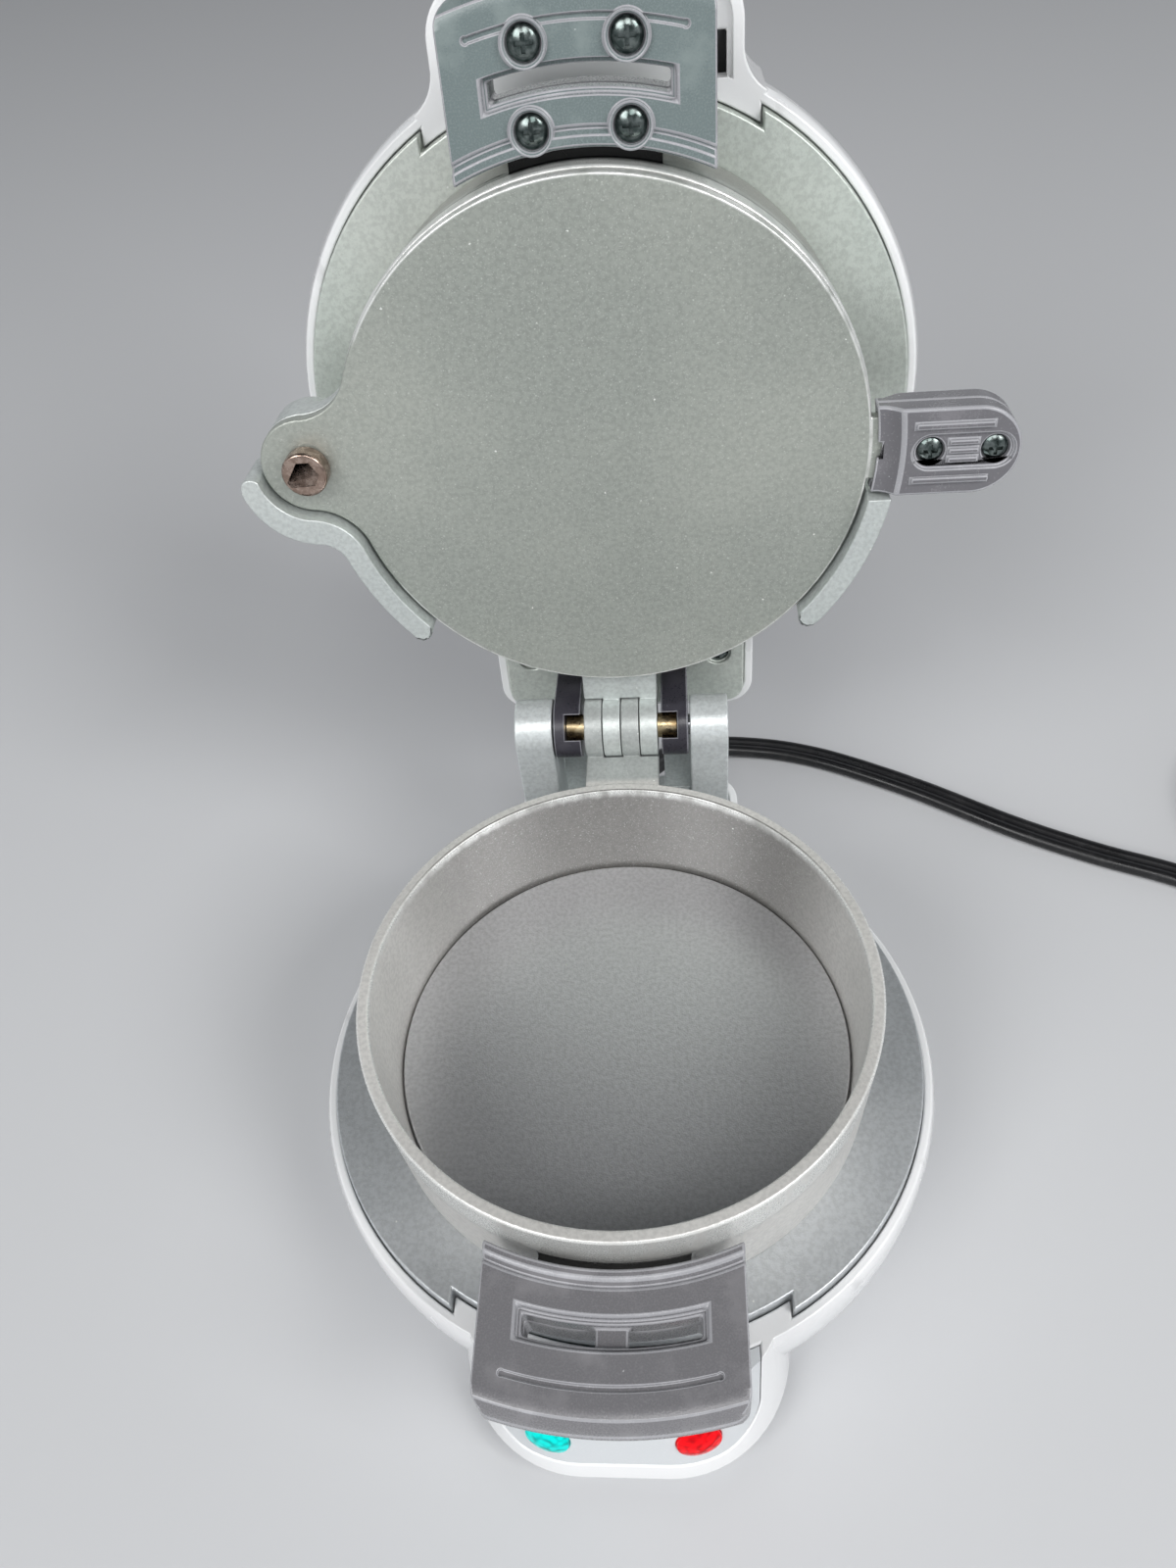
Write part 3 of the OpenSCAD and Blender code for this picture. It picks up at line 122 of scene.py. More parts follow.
class Finish:
    """One material. Its pattern is laid out in metres, on a raised piece as it lies when shut."""

    def __init__(self, name, raised=False):
        self.material = bpy.data.materials.new(name)
        self.material.use_nodes = True
        self.tree = self.material.node_tree
        self.shader = self.tree.nodes["Principled BSDF"]
        self.spot = self.node("ShaderNodeTexCoord", out="Object")
        if raised:
            place = cover_axis - Matrix.Rotation(open_angle, 3, "X") @ cover_axis
            shut = {"Vector": self.spot, "Location": place, "Rotation": (open_angle, 0, 0)}
            self.spot = self.node("ShaderNodeMapping", None, shut)

    def feed(self, socket, value):
        if isinstance(value, Wire):
            self.tree.links.new(value.socket, socket)
        else:
            socket.default_value = value

    def node(self, kind, settings=None, sockets=None, out=0):
        made = self.tree.nodes.new(kind)
        for name, value in (settings or {}).items():
            setattr(made, name, value)
        for key, value in (sockets or {}).items():
            self.feed(made.inputs[key], value)
        return Wire(self, made.outputs[out])

    def mix(self, share, under, over):
        """Colour over laid on colour under by share."""
        return self.node("ShaderNodeMix", {"data_type": "RGBA"}, {0: share, 6: under, 7: over}, out=2)

    def step(self, value, low, high, least=0.0, most=1.0):
        """Runs smoothly from least to most while value goes from low to high."""
        ends = {"Value": value, "From Min": low, "From Max": high, "To Min": least, "To Max": most}
        return self.node("ShaderNodeMapRange", {"interpolation_type": "SMOOTHSTEP"}, ends)

    def cloud(self, size, detail=2.0, stretch=(1, 1, 1)):
        """Soft noise whose blotches are about size metres across."""
        spot = self.node("ShaderNodeVectorMath", {"operation": "MULTIPLY"}, {0: self.spot, 1: stretch})
        noise = {"Vector": spot, "Scale": 1 / size, "Detail": detail}
        return self.node("ShaderNodeTexNoise", None, noise)

    def specks(self, size, share, reach):
        """Small uneven specks in a share of the cells of size metres, reach of a cell in radius."""
        cells = {"Vector": self.spot, "Scale": 1 / size}
        near = self.node("ShaderNodeTexVoronoi", None, cells, out="Distance")
        tint = self.node("ShaderNodeTexVoronoi", None, cells, out="Color")
        pick = self.node("ShaderNodeSeparateColor", None, {"Color": tint}, out="Red")
        ragged = near + 1.6 * reach * (self.cloud(size * reach, 1) - 0.5)
        return (pick < share) * self.step(ragged, reach, reach * 0.6)

    def axis(self, which):
        """How far right, back or up a spot lies, for which of 0, 1 and 2."""
        return self.node("ShaderNodeSeparateXYZ", None, {0: self.spot}, out=which)

    def across(self):
        """Distance from the upright axis through the middle of the rings."""
        x, y = self.axis(0), self.axis(1)
        return (x * x + y * y) ** 0.5

    def band(self, value, middle, half):
        """Is 1 where value is within half of middle, and fades out beyond."""
        return self.step(value, middle - 1.6 * half, middle - 0.6 * half) * self.step(
            value, middle + 1.6 * half, middle + 0.6 * half)

    def bump(self, height, depth):
        """Relief of depth metres where height is 1."""
        return self.node("ShaderNodeBump", None, {"Height": height, "Distance": depth, "Strength": 1.0})

    def set(self, **sockets):
        """Values for the shader's sockets, by their names with _ for a space."""
        for name, value in sockets.items():
            self.feed(self.shader.inputs[name.replace("_", " ")], value)
        return self.material


def tone(red, green, blue):
    """A colour given as it shows on screen, 0 to 255."""
    def linear(value):
        value = value / 255
        return value / 12.92 if value <= 0.04045 else ((value + 0.055) / 1.055) ** 2.4
    return linear(red), linear(green), linear(blue), 1.0


def make(name, mesh, finish, body, slot, *nodes):
    """A piece of that mesh and finish, which rides on a body and stands for some nodes."""
    mesh.materials.clear()
    mesh.materials.append(finish)
    piece = bpy.data.objects.new(name, mesh)
    bpy.context.scene.collection.objects.link(piece)
    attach(piece, body)
    if nodes:
        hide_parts(*nodes)
    return piece


lead_width = 0.007
lead_core = 0.0018
boot_start = Vector((-0.006, 0.0903, 0.015))
boot_turn = math.radians(55)
boot_drop = math.radians(14)
boot_heading = Vector((math.cos(boot_drop) * math.cos(boot_turn),
                       math.cos(boot_drop) * math.sin(boot_turn), -math.sin(boot_drop)))
boot_end = boot_start + 0.018 * boot_heading
coil_middle = Vector((0.202, 0.084, 0.003))
coil_start = math.radians(-122)
coil_turns = 2.35
coil_radius = 0.042
coil_pitch = 0.0076
coil_layer = 0.0044


def coil_point(turn):
    """The lead after that many turns: it winds inwards, climbs a layer, and winds outwards."""
    half = coil_turns / 2
    radius = coil_radius - coil_pitch * min(turn, coil_turns - turn)
    climb = min(max((turn - half + 0.25) / 0.5, 0), 1)
    angle = coil_start + 2 * math.pi * turn
    rise = coil_layer * climb * climb * (3 - 2 * climb)
    return coil_middle + Vector((radius * math.cos(angle), radius * math.sin(angle), rise))


def along_coil(turn):
    angle = coil_start + 2 * math.pi * turn
    return Vector((-math.sin(angle), math.cos(angle), 0))


def bend(before, start, end, after, t):
    """A point on the smooth curve from start to end."""
    return 0.5 * (2 * start + (end - before) * t + (2 * before - 5 * start + 4 * end - after) * t * t
                  + (3 * start - before - 3 * end + after) * t * t * t)


coil_in = coil_point(0) - lead_width * along_coil(0)
on_table = [Vector(point) for point in [
    (0.015, 0.1155, 0.0066), (0.0235, 0.1192, 0.0042), (0.033, 0.1202, 0.0026),
    (0.046, 0.1185, 0.0019), (0.061, 0.1132, 0.0018), (0.083, 0.1018, 0.0018),
    (0.108, 0.0866, 0.0018), (0.128, 0.0766, 0.0018), (0.147, 0.0686, 0.0019),
    (0.162, 0.0596, 0.0024)]]
stops = [boot_end + lead_width * boot_heading, *on_table, coil_in - lead_width * along_coil(0)]
points_per_stop = 8
coil_points = 130
inside_boot = 0.002
plug_tail = (0.008, 0.016, 0.024, 0.032)
route = [boot_end - inside_boot * boot_heading, boot_end]
for i in range(len(stops) - 1):
    around = [stops[max(i - 1, 0)], stops[i], stops[i + 1], stops[min(i + 2, len(stops) - 1)]]
    route += [bend(*around, k / points_per_stop) for k in range(points_per_stop)]
route += [stops[-1], coil_in]
route += [coil_point(coil_turns * k / coil_points) for k in range(coil_points + 1)]
route += [coil_point(coil_turns) + reach * along_coil(coil_turns) for reach in plug_tail]
section = bpy.data.curves.new("lead_section", "CURVE")
groove_angle = 144
outline = [(side * (lead_width / 2 - lead_core) + side * lead_core * math.cos(math.radians(a)),
            side * lead_core * math.sin(math.radians(a)))
           for side in (1, -1) for a in range(-groove_angle, groove_angle + 1, 24)]
section_line = section.splines.new("POLY")
section_line.points.add(len(outline) - 1)
section_line.use_cyclic_u = True
for point, place in zip(section_line.points, outline):
    point.co = (*place, 0, 1)
section_object = bpy.data.objects.new("lead_section", section)
flex = bpy.data.curves.new("flex", "CURVE")
flex.dimensions = "3D"
flex.twist_mode = "Z_UP"
flex.bevel_mode = "OBJECT"
flex.bevel_object = section_object
flex.use_fill_caps = True
flex_line = flex.splines.new("POLY")
flex_line.points.add(len(route) - 1)
for point, place in zip(flex_line.points, route):
    point.co = (*place, 1)
flex_object = bpy.data.objects.new("flex", flex)
bpy.context.scene.collection.objects.link(flex_object)
depsgraph = bpy.context.evaluated_depsgraph_get()
flex_mesh = bpy.data.meshes.new_from_object(flex_object.evaluated_get(depsgraph))
bpy.data.objects.remove(flex_object)
bpy.data.objects.remove(section_object)
flex_mesh.name = "mains_lead"
flex_mesh.polygons.foreach_set("use_smooth", [True] * len(flex_mesh.polygons))

sheath = Finish("lead_sheath")
scuffs = sheath.step(sheath.cloud(0.004, 4), 0.55, 0.7)
sheath.set(
    Base_Color=sheath.mix(scuffs * 0.5, tone(22, 22, 24), tone(46, 45, 46)),
    Roughness=sheath.step(sheath.cloud(0.012), 0.3, 0.7, 0.24, 0.4),
    Normal=sheath.bump(sheath.cloud(0.0012, 3), 0.00004))
lead = make("mains_lead", flex_mesh, sheath.material, "base", "cord_black", "power_cord", "cord_coil")


# Where a copy is cut, which joints between its faces are flat, and how its edges are measured
# and weighed. The cuts miss every edge of the pieces, and the angles are in radians.
cut_place = (0.0034, 0.0013, 0.1327)
cut_slack = 0.000002
weld_distance = 0.00003
sharp = math.radians(30)
nearly_flat = math.radians(0.3)
most_samples = 120
reach_of_gap = 2.5
share_of_gap = 0.4
alongside = 0.8
in_plane = 0.3
straight_on = 1.2
least_turn = 0.02
rise_per_length = 0.2
weight_slack = 0.001
least_weight = 0.04


def merged(node, most_sides):
    """A copy of a CAD node in whole faces. It is cut at three planes, so that no face is
    large, and faces with more than most_sides are cut up as well."""
    shape = bmesh.new()
    shape.from_mesh(frame["nodes"][node].data)
    bmesh.ops.remove_doubles(shape, verts=shape.verts, dist=weld_distance)
    for across in ((1, 0, 0), (0, 1, 0), (0, 0, 1)):
        cut = bmesh.ops.bisect_plane(shape, geom=[*shape.verts, *shape.edges, *shape.faces],
                                     plane_co=cut_place, plane_no=across, dist=cut_slack)
        for part in cut["geom_cut"]:
            if isinstance(part, bmesh.types.BMEdge):
                part.seam = True
    bmesh.ops.dissolve_limit(shape, angle_limit=nearly_flat, verts=shape.verts,
                             edges=shape.edges, delimit={"SEAM"})
    if most_sides:
        large = [face for face in shape.faces if len(face.verts) > most_sides]
        bmesh.ops.triangulate(shape, faces=large, ngon_method="BEAUTY")
    return shape


def weigh_by_room(edges, weight, width):
    """Weighs each edge by the room that its rounding has before it meets another edge."""
    samples = []
    for edge in edges:
        start, end = edge.verts[0].co, edge.verts[1].co
        count = min(max(math.ceil((end - start).length / width), 1), most_samples)
        samples += [(edge, start.lerp(end, (k + 0.5) / count)) for k in range(count)]
    tree = KDTree(len(samples))
    for i, (edge, place) in enumerate(samples):
        tree.insert(place, i)
        edge[weight] = 1.0
    tree.balance()
    for edge, place in samples:
        along = (edge.verts[1].co - edge.verts[0].co).normalized()
        for near, i, gap in tree.find_range(place, reach_of_gap * width):
            other = samples[i][0]
            if other == edge or set(other.verts) & set(edge.verts):
                continue
            away = (near - place).normalized()
            flat = min(abs(away.dot(face.normal)) for face in edge.link_faces)
            if abs(away.dot(along)) < alongside and flat < in_plane:
                edge[weight] = min(edge[weight], share_of_gap * gap / width)


def even_out(shape, weight, width):
    """Lets the rounding change only slowly from one edge to the next along a line of edges."""
    joints = []
    for corner in shape.verts:
        meeting = [edge for edge in corner.link_edges if edge[weight] > 0]
        for first, other in itertools.permutations(meeting, 2):
            ways = [edge.other_vert(corner).co - corner.co for edge in (first, other)]
            turn = math.pi - ways[0].angle(ways[1])
            if turn < straight_on:
                reach = min(ways[0].length, ways[1].length) * max(math.sin(turn), least_turn)
                joints.append((first, other, rise_per_length * reach / width))
    uneven = True
    while uneven:
        uneven = False
        for first, other, more in joints:
            if first[weight] > other[weight] + more + weight_slack:
                first[weight] = other[weight] + more
                uneven = True


def soften(name, node, finish, slot, width, segments=2, most_sides=None, edge_finish=None):
    """A copy of a CAD piece whose sharp edges are rounded by width, or by less where another
    edge is near. The rounded edges may have a finish of their own. It stands for the piece."""
    shape = merged(node, most_sides)
    weight = shape.edges.layers.float.new("bevel_weight_edge")
    edges = [edge for edge in shape.edges
             if edge.is_manifold and edge.calc_face_angle() > sharp]
    weigh_by_room(edges, weight, width)
    even_out(shape, weight, width)
    for edge in edges:
        edge.smooth = edge[weight] > least_weight
    mesh = bpy.data.meshes.new(name)
    shape.to_mesh(mesh)
    shape.free()
    mesh.polygons.foreach_set("use_smooth", [True] * len(mesh.polygons))
    piece = make(name, mesh, finish, frame["nodes"][node]["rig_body"], slot, node)
    rounding = piece.modifiers.new("rounding", "BEVEL")
    rounding.width = width
    rounding.segments = segments
    rounding.limit_method = "WEIGHT"
    rounding.use_clamp_overlap = False
    if edge_finish:
        mesh.materials.append(edge_finish)
        rounding.material = 1
    shading = piece.modifiers.new("even_shading", "WEIGHTED_NORMAL")
    shading.keep_sharp = True
    return piece


def dress(finish, *nodes):
    """Gives CAD pieces their finish."""
    for node in nodes:
        for held in frame["nodes"][node].material_slots:
            held.material = finish


boot_rubber = Finish("boot_rubber")
boot_rubber.set(
    Base_Color=boot_rubber.mix(boot_rubber.cloud(0.003, 3), tone(20, 20, 22), tone(38, 38, 40)),
    Roughness=0.5,
    Normal=boot_rubber.bump(boot_rubber.cloud(0.0005, 2), 0.00003))
dress(boot_rubber.material, "cord_strain_relief")
plug = soften("plug", "plug_body", boot_rubber.material, "cord_black", 0.0008, 3)
tie = soften("wire_tie", "cord_tie", boot_rubber.material, "cord_black", 0.0002)

blade_brass = Finish("blade_brass")
drawn = blade_brass.cloud(0.0012, 3, (1, 0.1, 1))
blade_brass.set(
    Base_Color=blade_brass.mix(drawn, tone(196, 168, 104), tone(222, 198, 140)),
    Metallic=1.0,
    Roughness=blade_brass.step(drawn, 0.3, 0.7, 0.22, 0.38))
dress(blade_brass.material, "plug_blades")


# Table and light: a plain pale table top, two large soft lamps in front and a smaller one above
# the phone, in a room that is darker overhead.
table_half = 6
table_mesh = bpy.data.meshes.new("table")
table_shape = bmesh.new()
bmesh.ops.create_grid(table_shape, x_segments=1, y_segments=1, size=table_half)
table_shape.to_mesh(table_mesh)
table_shape.free()
table = bpy.data.objects.new("table", table_mesh)
bpy.context.scene.collection.objects.link(table)
table_top = Finish("table_top")
table_top.set(Base_Color=tone(205, 206, 208), Roughness=0.7)
table_mesh.materials.append(table_top.material)


def lamp(name, place, aim, size, power):
    """A soft square lamp, size metres wide, that points from place to aim."""
    light = bpy.data.lights.new(name, "AREA")
    light.shape = "SQUARE"
    light.size = size
    light.energy = power
    holder = bpy.data.objects.new(name, light)
    bpy.context.scene.collection.objects.link(holder)
    holder.location = place
    holder.rotation_euler = (Vector(aim) - Vector(place)).to_track_quat("-Z", "Y").to_euler()


at_hinge = (0, 0.05, 0.08)
lamp("lamp_front_left", (-0.8, -0.95, 1.2), at_hinge, 0.8, 12.5)
lamp("lamp_front_right", (0.95, -0.6, 1.1), at_hinge, 0.6, 11.5)
lamp("lamp_over_phone", (0.1, -0.55, 0.95), (0, 0.03, 0.06), 0.35, 2.2)
world = bpy.data.worlds.new("room")
world.use_nodes = True
sky = world.node_tree.nodes["Background"]
sky.inputs["Color"].default_value = (0.93, 0.96, 1.0, 1.0)
direction = world.node_tree.nodes.new("ShaderNodeTexCoord")
parts = world.node_tree.nodes.new("ShaderNodeSeparateXYZ")
level = world.node_tree.nodes.new("ShaderNodeMapRange")
level.interpolation_type = "SMOOTHSTEP"
sky_levels = {"From Min": 0.2, "From Max": 0.85, "To Min": 0.64, "To Max": 0.05}
for socket, value in sky_levels.items():
    level.inputs[socket].default_value = value
world.node_tree.links.new(direction.outputs["Generated"], parts.inputs[0])
world.node_tree.links.new(parts.outputs["Z"], level.inputs["Value"])
world.node_tree.links.new(level.outputs["Result"], sky.inputs["Strength"])
bpy.context.scene.world = world
bpy.context.scene.view_settings.view_transform = "Standard"


# Feet: a soft rubber ring and two pads, pressed into the floor of the base.
# They carry the appliance and keep it from sliding.
foot_rubber = Finish("foot_rubber")
dust = foot_rubber.step(foot_rubber.cloud(0.006, 4), 0.5, 0.75)
foot_rubber.set(
    Base_Color=foot_rubber.mix(dust * 0.4, tone(34, 34, 35), tone(88, 86, 84)),
    Roughness=0.75,
    Normal=foot_rubber.bump(foot_rubber.cloud(0.0008, 3), 0.00006))
dress(foot_rubber.material, "rubber_feet")


# Floor of the base: a black moulding with vents and four posts, and the steel screws that
# go up through the posts into the heating plate's casting.
def moulded(name, dark, light, grain=0.00035, gloss=0.4, raised=False):
    """Plastic from a spark-eroded mould: a fine texture whose sparkle is painted as small pale specks,
    rubbed paler.
    """
    finish = Finish(name, raised)
    rough = finish.cloud(grain, 2)
    wear = finish.step(finish.cloud(0.009, 5), 0.5, 0.75)
    tint = finish.mix(wear * 0.6, dark, light)
    tint = finish.mix(finish.step(rough, 0.55, 0.75) * 0.35, tint, light)
    # Painted glints: small pale specks in the colour stand for the texture's sparkle.
    glint_specks = finish.specks(0.0022, 0.1, 0.07)
    finish.set(
        Base_Color=finish.mix(glint_specks * 0.6, tint, tone(214, 216, 218)),
        Roughness=gloss + 0.08 * wear + 0.2 * (rough - 0.5),
        Coat_Weight=0.25,
        Coat_Roughness=0.3,
        Normal=finish.bump(rough, 0.00004))
    return finish.material


floor_black = moulded("floor_black", tone(33, 33, 34), tone(58, 58, 60))
soften("base_floor", "bottom_cover", floor_black, "black_plastic", 0.0005)


def turned_steel(name, dark, light, rough, relief=0.000006):
    """Plated screws: bright metal with dull hazy hollows."""
    finish = Finish(name)
    haze = finish.step(finish.cloud(0.0012, 3), 0.35, 0.65)
    finish.set(
        Base_Color=finish.mix(haze, dark, light),
        Metallic=1.0,
        Roughness=rough + 0.1 * haze,
        Normal=finish.bump(finish.cloud(0.0005, 2), relief))
    return finish.material


zinc = turned_steel("zinc_plate", tone(168, 170, 174), tone(214, 216, 218), 0.24)
dress(zinc, "bottom_screws", "reflector_screws", "upper_reflector_screws", "hinge_arm_screws")


# Housings of base and cover: silver-white moulded shells, glossy over a faint metallic flake.
# Each drops over its heating plate's edge and is held by the screws from below.
def silver(name, dark, light, gloss):
    """Glossy silver-white plastic, a little scuffed."""
    finish = Finish(name)
    flake = finish.cloud(0.0003, 2)
    shade = finish.cloud(0.03, 3)
    scuff = finish.step(finish.cloud(0.007, 6, (1, 1, 0.4)), 0.62, 0.74)
    base = finish.mix(shade, dark, light)
    base = finish.mix(finish.step(flake, 0.6, 0.75) * 0.25, base, tone(250, 250, 250))
    finish.set(
        Base_Color=finish.mix(scuff * 0.25, base, tone(150, 150, 150)),
        Roughness=gloss + 0.16 * scuff,
        Coat_Weight=0.5,
        Coat_Roughness=0.12,
        Normal=finish.bump(finish.cloud(0.0011, 2), 0.000012))
    return finish.material


shell_silver = silver("shell_silver", tone(232, 233, 234), tone(243, 243, 243), 0.26)
soften("base_housing", "base_shell", shell_silver, "silver_shell", 0.0005, 3)
soften("cover_housing", "cover_shell", shell_silver, "silver_shell", 0.0005, 3)
panel_grey = silver("panel_grey", tone(202, 206, 209), tone(214, 217, 219), 0.32)
soften("nose_insert", "nose_panel", panel_grey, "panel", 0.00025, 3)


# Lamp lenses: two domed lenses pressed from clear coloured plastic into the nose, teal for
# preheat and red for power, each over a small neon lamp in a moulded holder.
def lens_plastic(name, deep, bright):
    """Clear coloured plastic with small prisms on its inner face, whose glints are painted as paler
    facets, with a faint painted glow of its own colour.
    """
    finish = Finish(name)
    facets = {"Vector": finish.spot, "Scale": 900.0}
    prism = finish.node("ShaderNodeTexVoronoi", {"feature": "SMOOTH_F1"}, facets)
    glint = finish.step(prism, 0.3, 0.75)
    tint = finish.mix(glint, bright, deep)
    finish.set(
        Base_Color=tint,
        Roughness=0.12,
        Specular_IOR_Level=0.05,
        Coat_Weight=0.05,
        Coat_Roughness=0.03,
        # Painted glow: the lens gives off a faint light of its own colour.
        Emission_Color=tint,
        Emission_Strength=0.2,
        Normal=finish.bump(glint, 0.00008))
    return finish.material


teal_plastic = lens_plastic("teal_lens_plastic", tone(0, 150, 144), tone(0, 216, 208))
red_plastic = lens_plastic("red_lens_plastic", tone(170, 2, 12), tone(232, 14, 24))
dress(teal_plastic, "preheat_lens")
dress(red_plastic, "power_lens")
neon_glass = Finish("neon_glass")
neon_glass.set(
    Base_Color=neon_glass.mix(neon_glass.cloud(0.0015), tone(214, 196, 178), tone(240, 232, 224)),
    Roughness=0.1,
    Coat_Weight=0.5)
dress(neon_glass.material, "neon_lamps")


def cast_plastic(name, dark, light, rough):
    """Plain moulded or pressed parts inside the housings."""
    finish = Finish(name)
    patch = finish.cloud(0.004, 4)
    finish.set(
        Base_Color=finish.mix(patch, dark, light),
        Roughness=rough,
        Normal=finish.bump(finish.cloud(0.0007, 3), 0.00004))
    return finish.material


dress(cast_plastic("holder_plastic", tone(206, 204, 196), tone(226, 224, 218), 0.45), "lamp_holder")
dress(cast_plastic("terminal_bakelite", tone(58, 40, 30), tone(84, 60, 46), 0.4), "terminal_block")
dress(cast_plastic("fuse_ceramic", tone(220, 216, 206), tone(238, 236, 230), 0.6),
      "base_thermal_fuse", "cover_thermal_fuse")
dress(cast_plastic("wire_sleeve", tone(200, 196, 188), tone(224, 222, 216), 0.7),
      "base_wires", "cover_wires")


# Heating plates: two aluminium castings with a flange, a raised disc and hinge ears. Their
# dark non-stick enamel is full of pale flakes, and it is drawn in the lighter grey that it has
# in the photo's light. The element lies clamped behind each.
rings_meet = 0.062
disc_edge = 0.0504


def in_handle_gap(finish):
    """A mask for the tongue where it crosses from a ring to its handle. It is drawn nearly
    black there, for the shadow that lies on it in the photo."""
    outside = finish.step(finish.across(), 0.0535, 0.0538)
    in_front = finish.step(finish.axis(1), -0.03, -0.032)
    off_joint = finish.step(abs(finish.axis(2) - rings_meet), 0.0091, 0.0094)
    return outside * in_front * off_joint


def nonstick(name, dark, light, metal=0.5, rough=0.4, raised=False, areas=(), worn_and_lit=(), shade=None,
             bare=None, free=None):
    """Coating full of fine pale flakes. An area is the maker of a mask and the tone there.
    A worn and lit line is a circle's radius and half its width, where the coating is drawn bright:
    partly rubbed through to the casting, partly a painted highlight on the edge; but not left of free.
    Where bare's mask is 1 the casting shines through, and where shade's is 1 it is nearly black."""
    finish = Finish(name, raised)
    drift = finish.step(finish.cloud(0.05, 2), 0.3, 0.7)
    mottle = finish.step(finish.cloud(0.0009, 3), 0.35, 0.68)
    grain = finish.cloud(0.00032, 2)
    coat = finish.mix(drift, dark, light)
    for mask, there in areas:
        coat = finish.mix(mask(finish), coat, there)
    coat = finish.mix(mottle * 0.16, coat, tone(60, 64, 62))
    coat = finish.mix(finish.step(grain, 0.56, 0.74) * 0.4, coat, tone(214, 218, 212))
    coat = finish.mix(finish.specks(0.0011, 0.3, 0.17) * 0.45, coat, tone(222, 226, 220))
    coat = finish.mix(finish.specks(0.0036, 0.2, 0.07) * 0.9, coat, tone(240, 242, 238))
    # The bright lines are partly wear and partly painted highlight along the edges.
    rubbed_and_lit = 0.0
    for radius, half in worn_and_lit:
        rubbed_and_lit = rubbed_and_lit + finish.band(finish.across(), radius, half)
    if worn_and_lit:
        rubbed_and_lit = rubbed_and_lit * finish.step(finish.cloud(0.0035, 4, (1, 1, 0.3)), 0.3, 0.55, 0.35, 0.95)
        if free:
            rubbed_and_lit = rubbed_and_lit * finish.step(finish.axis(0), free - 0.001, free + 0.001)
        coat = finish.mix(rubbed_and_lit, coat, tone(226, 227, 224))
    if shade:
        coat = finish.mix(shade(finish), coat, tone(14, 14, 14))
    finish.set(
        Base_Color=coat,
        Metallic=metal + 0.4 * bare(finish) if bare else metal,
        Roughness=rough + 0.2 * (grain - 0.5) - 0.1 * rubbed_and_lit,
        Normal=finish.bump(grain, 0.00005))
    return finish.material


def behind(place):
    """A mask for what lies further back than place."""
    return lambda finish: finish.step(finish.axis(1), place - 0.001, place + 0.001)


def within(radius):
    """A mask for what lies nearer than radius to the axis of the rings."""
    return lambda finish: finish.step(finish.across(), radius + 0.0004, radius - 0.0004)


disc = (within(disc_edge), tone(240, 240, 243))
# Painted highlight: the hinge ears are drawn paler than the rest of the casting.
ear_highlight = (behind(0.062), tone(224, 229, 229))
plate_enamel = nonstick("plate_enamel", tone(186, 190, 193), tone(208, 211, 213), 0.48, 0.33,
                        areas=[disc, ear_highlight], worn_and_lit=[(0.0499, 0.00022)], bare=within(disc_edge))
cover_enamel = nonstick("cover_enamel", tone(206, 214, 206), tone(220, 225, 217), raised=True)
soften("lower_casting", "lower_heating_plate", plate_enamel, "nonstick", 0.0005, 3)
soften("upper_casting", "upper_heating_plate", cover_enamel, "nonstick", 0.0005, 3)


# Elements, heat shields and thermostat: what heats the plates and what keeps the heat in.
# The elements are steel tubes coloured by heat, the shields bare aluminium sheet.
element_steel = Finish("element_steel")
blue = element_steel.step(element_steel.cloud(0.018, 3), 0.4, 0.65)
element_steel.set(
    Base_Color=element_steel.mix(blue, tone(122, 112, 98), tone(84, 88, 104)),
    Metallic=1.0,
    Roughness=element_steel.step(element_steel.cloud(0.002, 3), 0.3, 0.7, 0.32, 0.5))
dress(element_steel.material, "lower_element", "upper_element")
sheet_aluminium = Finish("sheet_aluminium")
rolled = sheet_aluminium.cloud(0.0016, 4, (1, 0.06, 1))
sheet_aluminium.set(
    Base_Color=sheet_aluminium.mix(rolled, tone(172, 174, 176), tone(208, 210, 212)),
    Metallic=1.0,
    Roughness=sheet_aluminium.step(rolled, 0.3, 0.7, 0.3, 0.46))
dress(sheet_aluminium.material, "lower_reflector", "upper_reflector", "thermostat")


# Bottom ring: a cast aluminium ring in the same coating, drawn paler than the plates' as painted light,
# and bright along its rim, partly worn and partly a painted highlight.
# Two knuckles at its back turn on the brass pin, and a tongue in front goes into its handle.
def back_wall_shade(finish):
    """A mask for the inside of the ring at the back, which is darker in the photo and is drawn darker
    there as painted shade.
    """
    return finish.step(finish.across(), 0.0521, 0.0519) * finish.step(finish.axis(1), 0.012, 0.04)


outer_rim = (0.0538, 0.0002)
inner_rim = (0.0515, 0.00016)
# Painted shade: the knuckles are drawn in a darker grey than the rest of the ring.
knuckles = (behind(0.056), tone(180, 184, 182))
ring_enamel = nonstick("ring_enamel", tone(212, 210, 206), tone(230, 228, 224), 0.3, 0.36,
                       areas=[(back_wall_shade, tone(132, 130, 127)), knuckles],
                       worn_and_lit=[outer_rim, inner_rim], shade=in_handle_gap)
soften("lower_ring", "bottom_ring", ring_enamel, "nonstick", 0.0004, 3)


# Handle of the bottom ring: two black mouldings round the ring's tongue, with screws from
# below. Their faces are drawn grey and their rounded edges paler, after the light on them in
# the photo, and so are those of the other handles.
handle_black = moulded("handle_black", tone(116, 115, 118), tone(144, 142, 145), gloss=0.27)
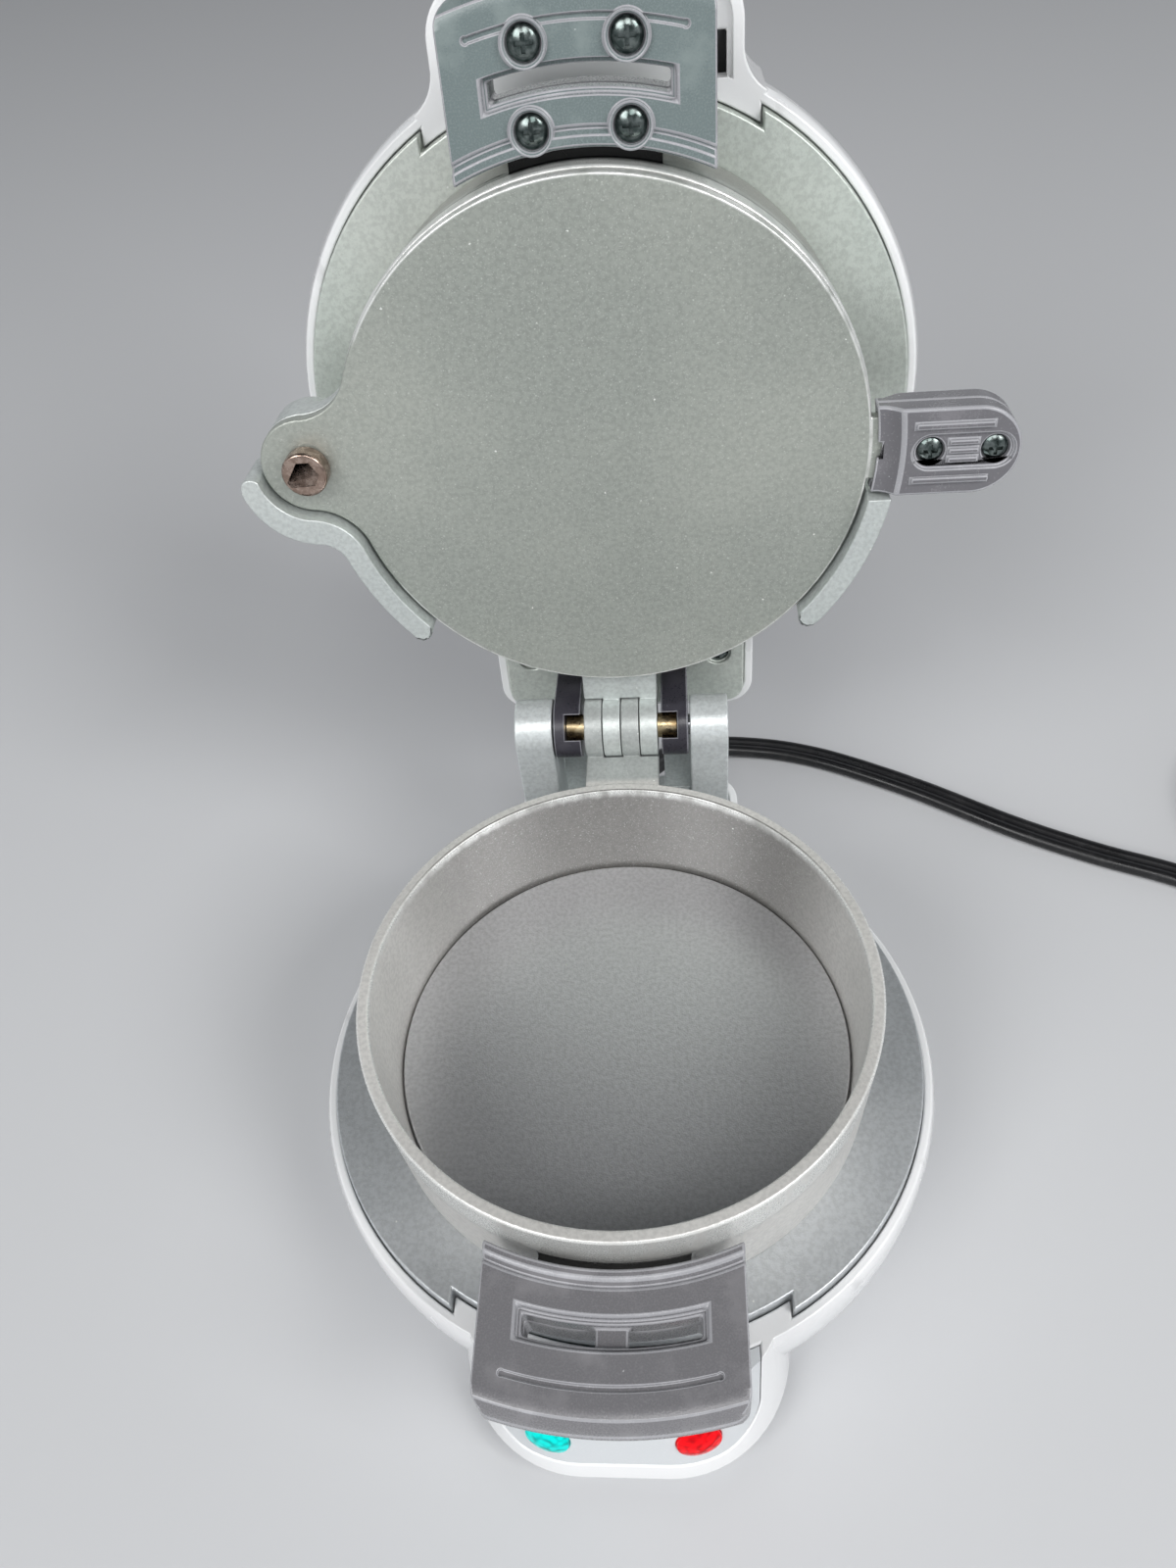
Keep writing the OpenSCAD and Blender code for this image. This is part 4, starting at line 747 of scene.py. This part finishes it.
# Painted highlight: the rounded edges of all the black handles are drawn paler.
highlight_edge = moulded("highlight_edge", tone(158, 158, 162), tone(190, 190, 194), gloss=0.24)
soften("lower_grip_top", "bottom_handle_upper", handle_black, "black_plastic", 0.0011, 3,
       edge_finish=highlight_edge)
soften("lower_grip_under", "bottom_handle_lower", handle_black, "black_plastic", 0.0009, 3,
       edge_finish=highlight_edge)
blackened = turned_steel("blackened_steel", tone(70, 80, 78), tone(118, 126, 124), 0.16)
dress(blackened, "bottom_handle_screws", "cover_grip_screws", "top_handle_screws",
      "plate_handle_screws", "cover_plate_screws")


# Hinge pins: a brass rod through the knuckles of both rings, and two short steel pins that
# carry the cover's arms.
ring_brass = Finish("ring_brass")
tarnish = ring_brass.step(ring_brass.cloud(0.002, 4), 0.4, 0.65)
ring_brass.set(
    Base_Color=ring_brass.mix(tarnish, tone(214, 194, 156), tone(170, 146, 108)),
    Metallic=1.0,
    Roughness=ring_brass.step(ring_brass.cloud(0.0008, 3), 0.3, 0.7, 0.24, 0.44))
dress(ring_brass.material, "ring_pin")
dress(zinc, "cover_pins")


# Hinge arms: two black hooks moulded in glass-filled plastic, screwed into the cover's
# casting. Their open mouths let the rings be lifted off with the brass pin.
arm_black = moulded("arm_black", tone(46, 44, 52), tone(78, 76, 84), 0.0005, 0.3)
# Painted highlight: the arms' rounded edges are drawn paler.
arm_highlight_edge = moulded("arm_highlight_edge", tone(112, 112, 118), tone(150, 150, 156), gloss=0.26)
soften("left_arm", "hinge_arm_left", arm_black, "black_plastic", 0.0003, edge_finish=arm_highlight_edge)
soften("right_arm", "hinge_arm_right", arm_black, "black_plastic", 0.0004, edge_finish=arm_highlight_edge)


# Grip of the cover: two black mouldings screwed together round the cover's tongue.
# It is what the appliance is opened and closed by.
soften("cover_grip_top", "cover_grip_upper", handle_black, "black_plastic", 0.0008, 3,
       edge_finish=highlight_edge)
soften("cover_grip_under", "cover_grip_lower", handle_black, "black_plastic", 0.0008, 3,
       edge_finish=highlight_edge)


# Top ring: the upper cooking ring, with the lug that the plate swings on and two raised lips
# that stop the plate under the ring. It hangs on the same brass pin.
# Painted light: the top ring's coating is drawn in a grey of its own, darker within 53.7 mm of the axis;
# its rim line is partly wear and partly a painted highlight.
lip_enamel = nonstick("lip_enamel", tone(198, 204, 202), tone(218, 223, 220), raised=True,
                      areas=[(within(0.0537), tone(164, 163, 159))], worn_and_lit=[outer_rim],
                      shade=in_handle_gap)
soften("upper_ring", "top_ring", lip_enamel, "nonstick", 0.0004, 3, most_sides=30)
# Painted light: the top handle's faces are drawn greenish grey, with a painted greenish reflection.
raised_black = moulded("raised_black", tone(110, 122, 122), tone(142, 153, 151), gloss=0.27, raised=True)
soften("upper_grip_top", "top_handle_upper", raised_black, "black_plastic", 0.0009, 3,
       edge_finish=highlight_edge)
soften("upper_grip_under", "top_handle_lower", raised_black, "black_plastic", 0.0011, 3,
       edge_finish=highlight_edge)


# Cooking plate: a flat cast plate on a shouldered screw at the left, so that it swings out
# from between the rings and lets the egg drop.
# Painted light: the cooking plate's coating is drawn in a grey of its own, and its edge line is partly
# wear and partly a painted highlight.
plate_coat = nonstick("plate_coat", tone(162, 167, 160), tone(176, 180, 172), raised=True,
                      worn_and_lit=[(0.0534, 0.0003)], free=-0.046)
soften("swing_plate", "cooking_plate", plate_coat, "nonstick", 0.0005, 3)
pivot_nickel = turned_steel("pivot_nickel", tone(146, 126, 114), tone(182, 162, 150), 0.2, 0.0000005)
soften("pivot", "pivot_screw", pivot_nickel, "bronze", 0.0007, 3)
dress(zinc, "pivot_washer")


# Handle of the cooking plate: two black mouldings round the plate's tongue, held by two
# blackened screws from below, with raised ribs for the thumb.
thumb_black = moulded("thumb_black", tone(104, 103, 107), tone(132, 130, 134), 0.0005, 0.24, raised=True)
soften("plate_grip_top", "plate_handle_upper", thumb_black, "black_plastic", 0.0009, 3,
       edge_finish=highlight_edge)
soften("plate_grip_under", "plate_handle_lower", thumb_black, "black_plastic", 0.0006, 3,
       edge_finish=highlight_edge)
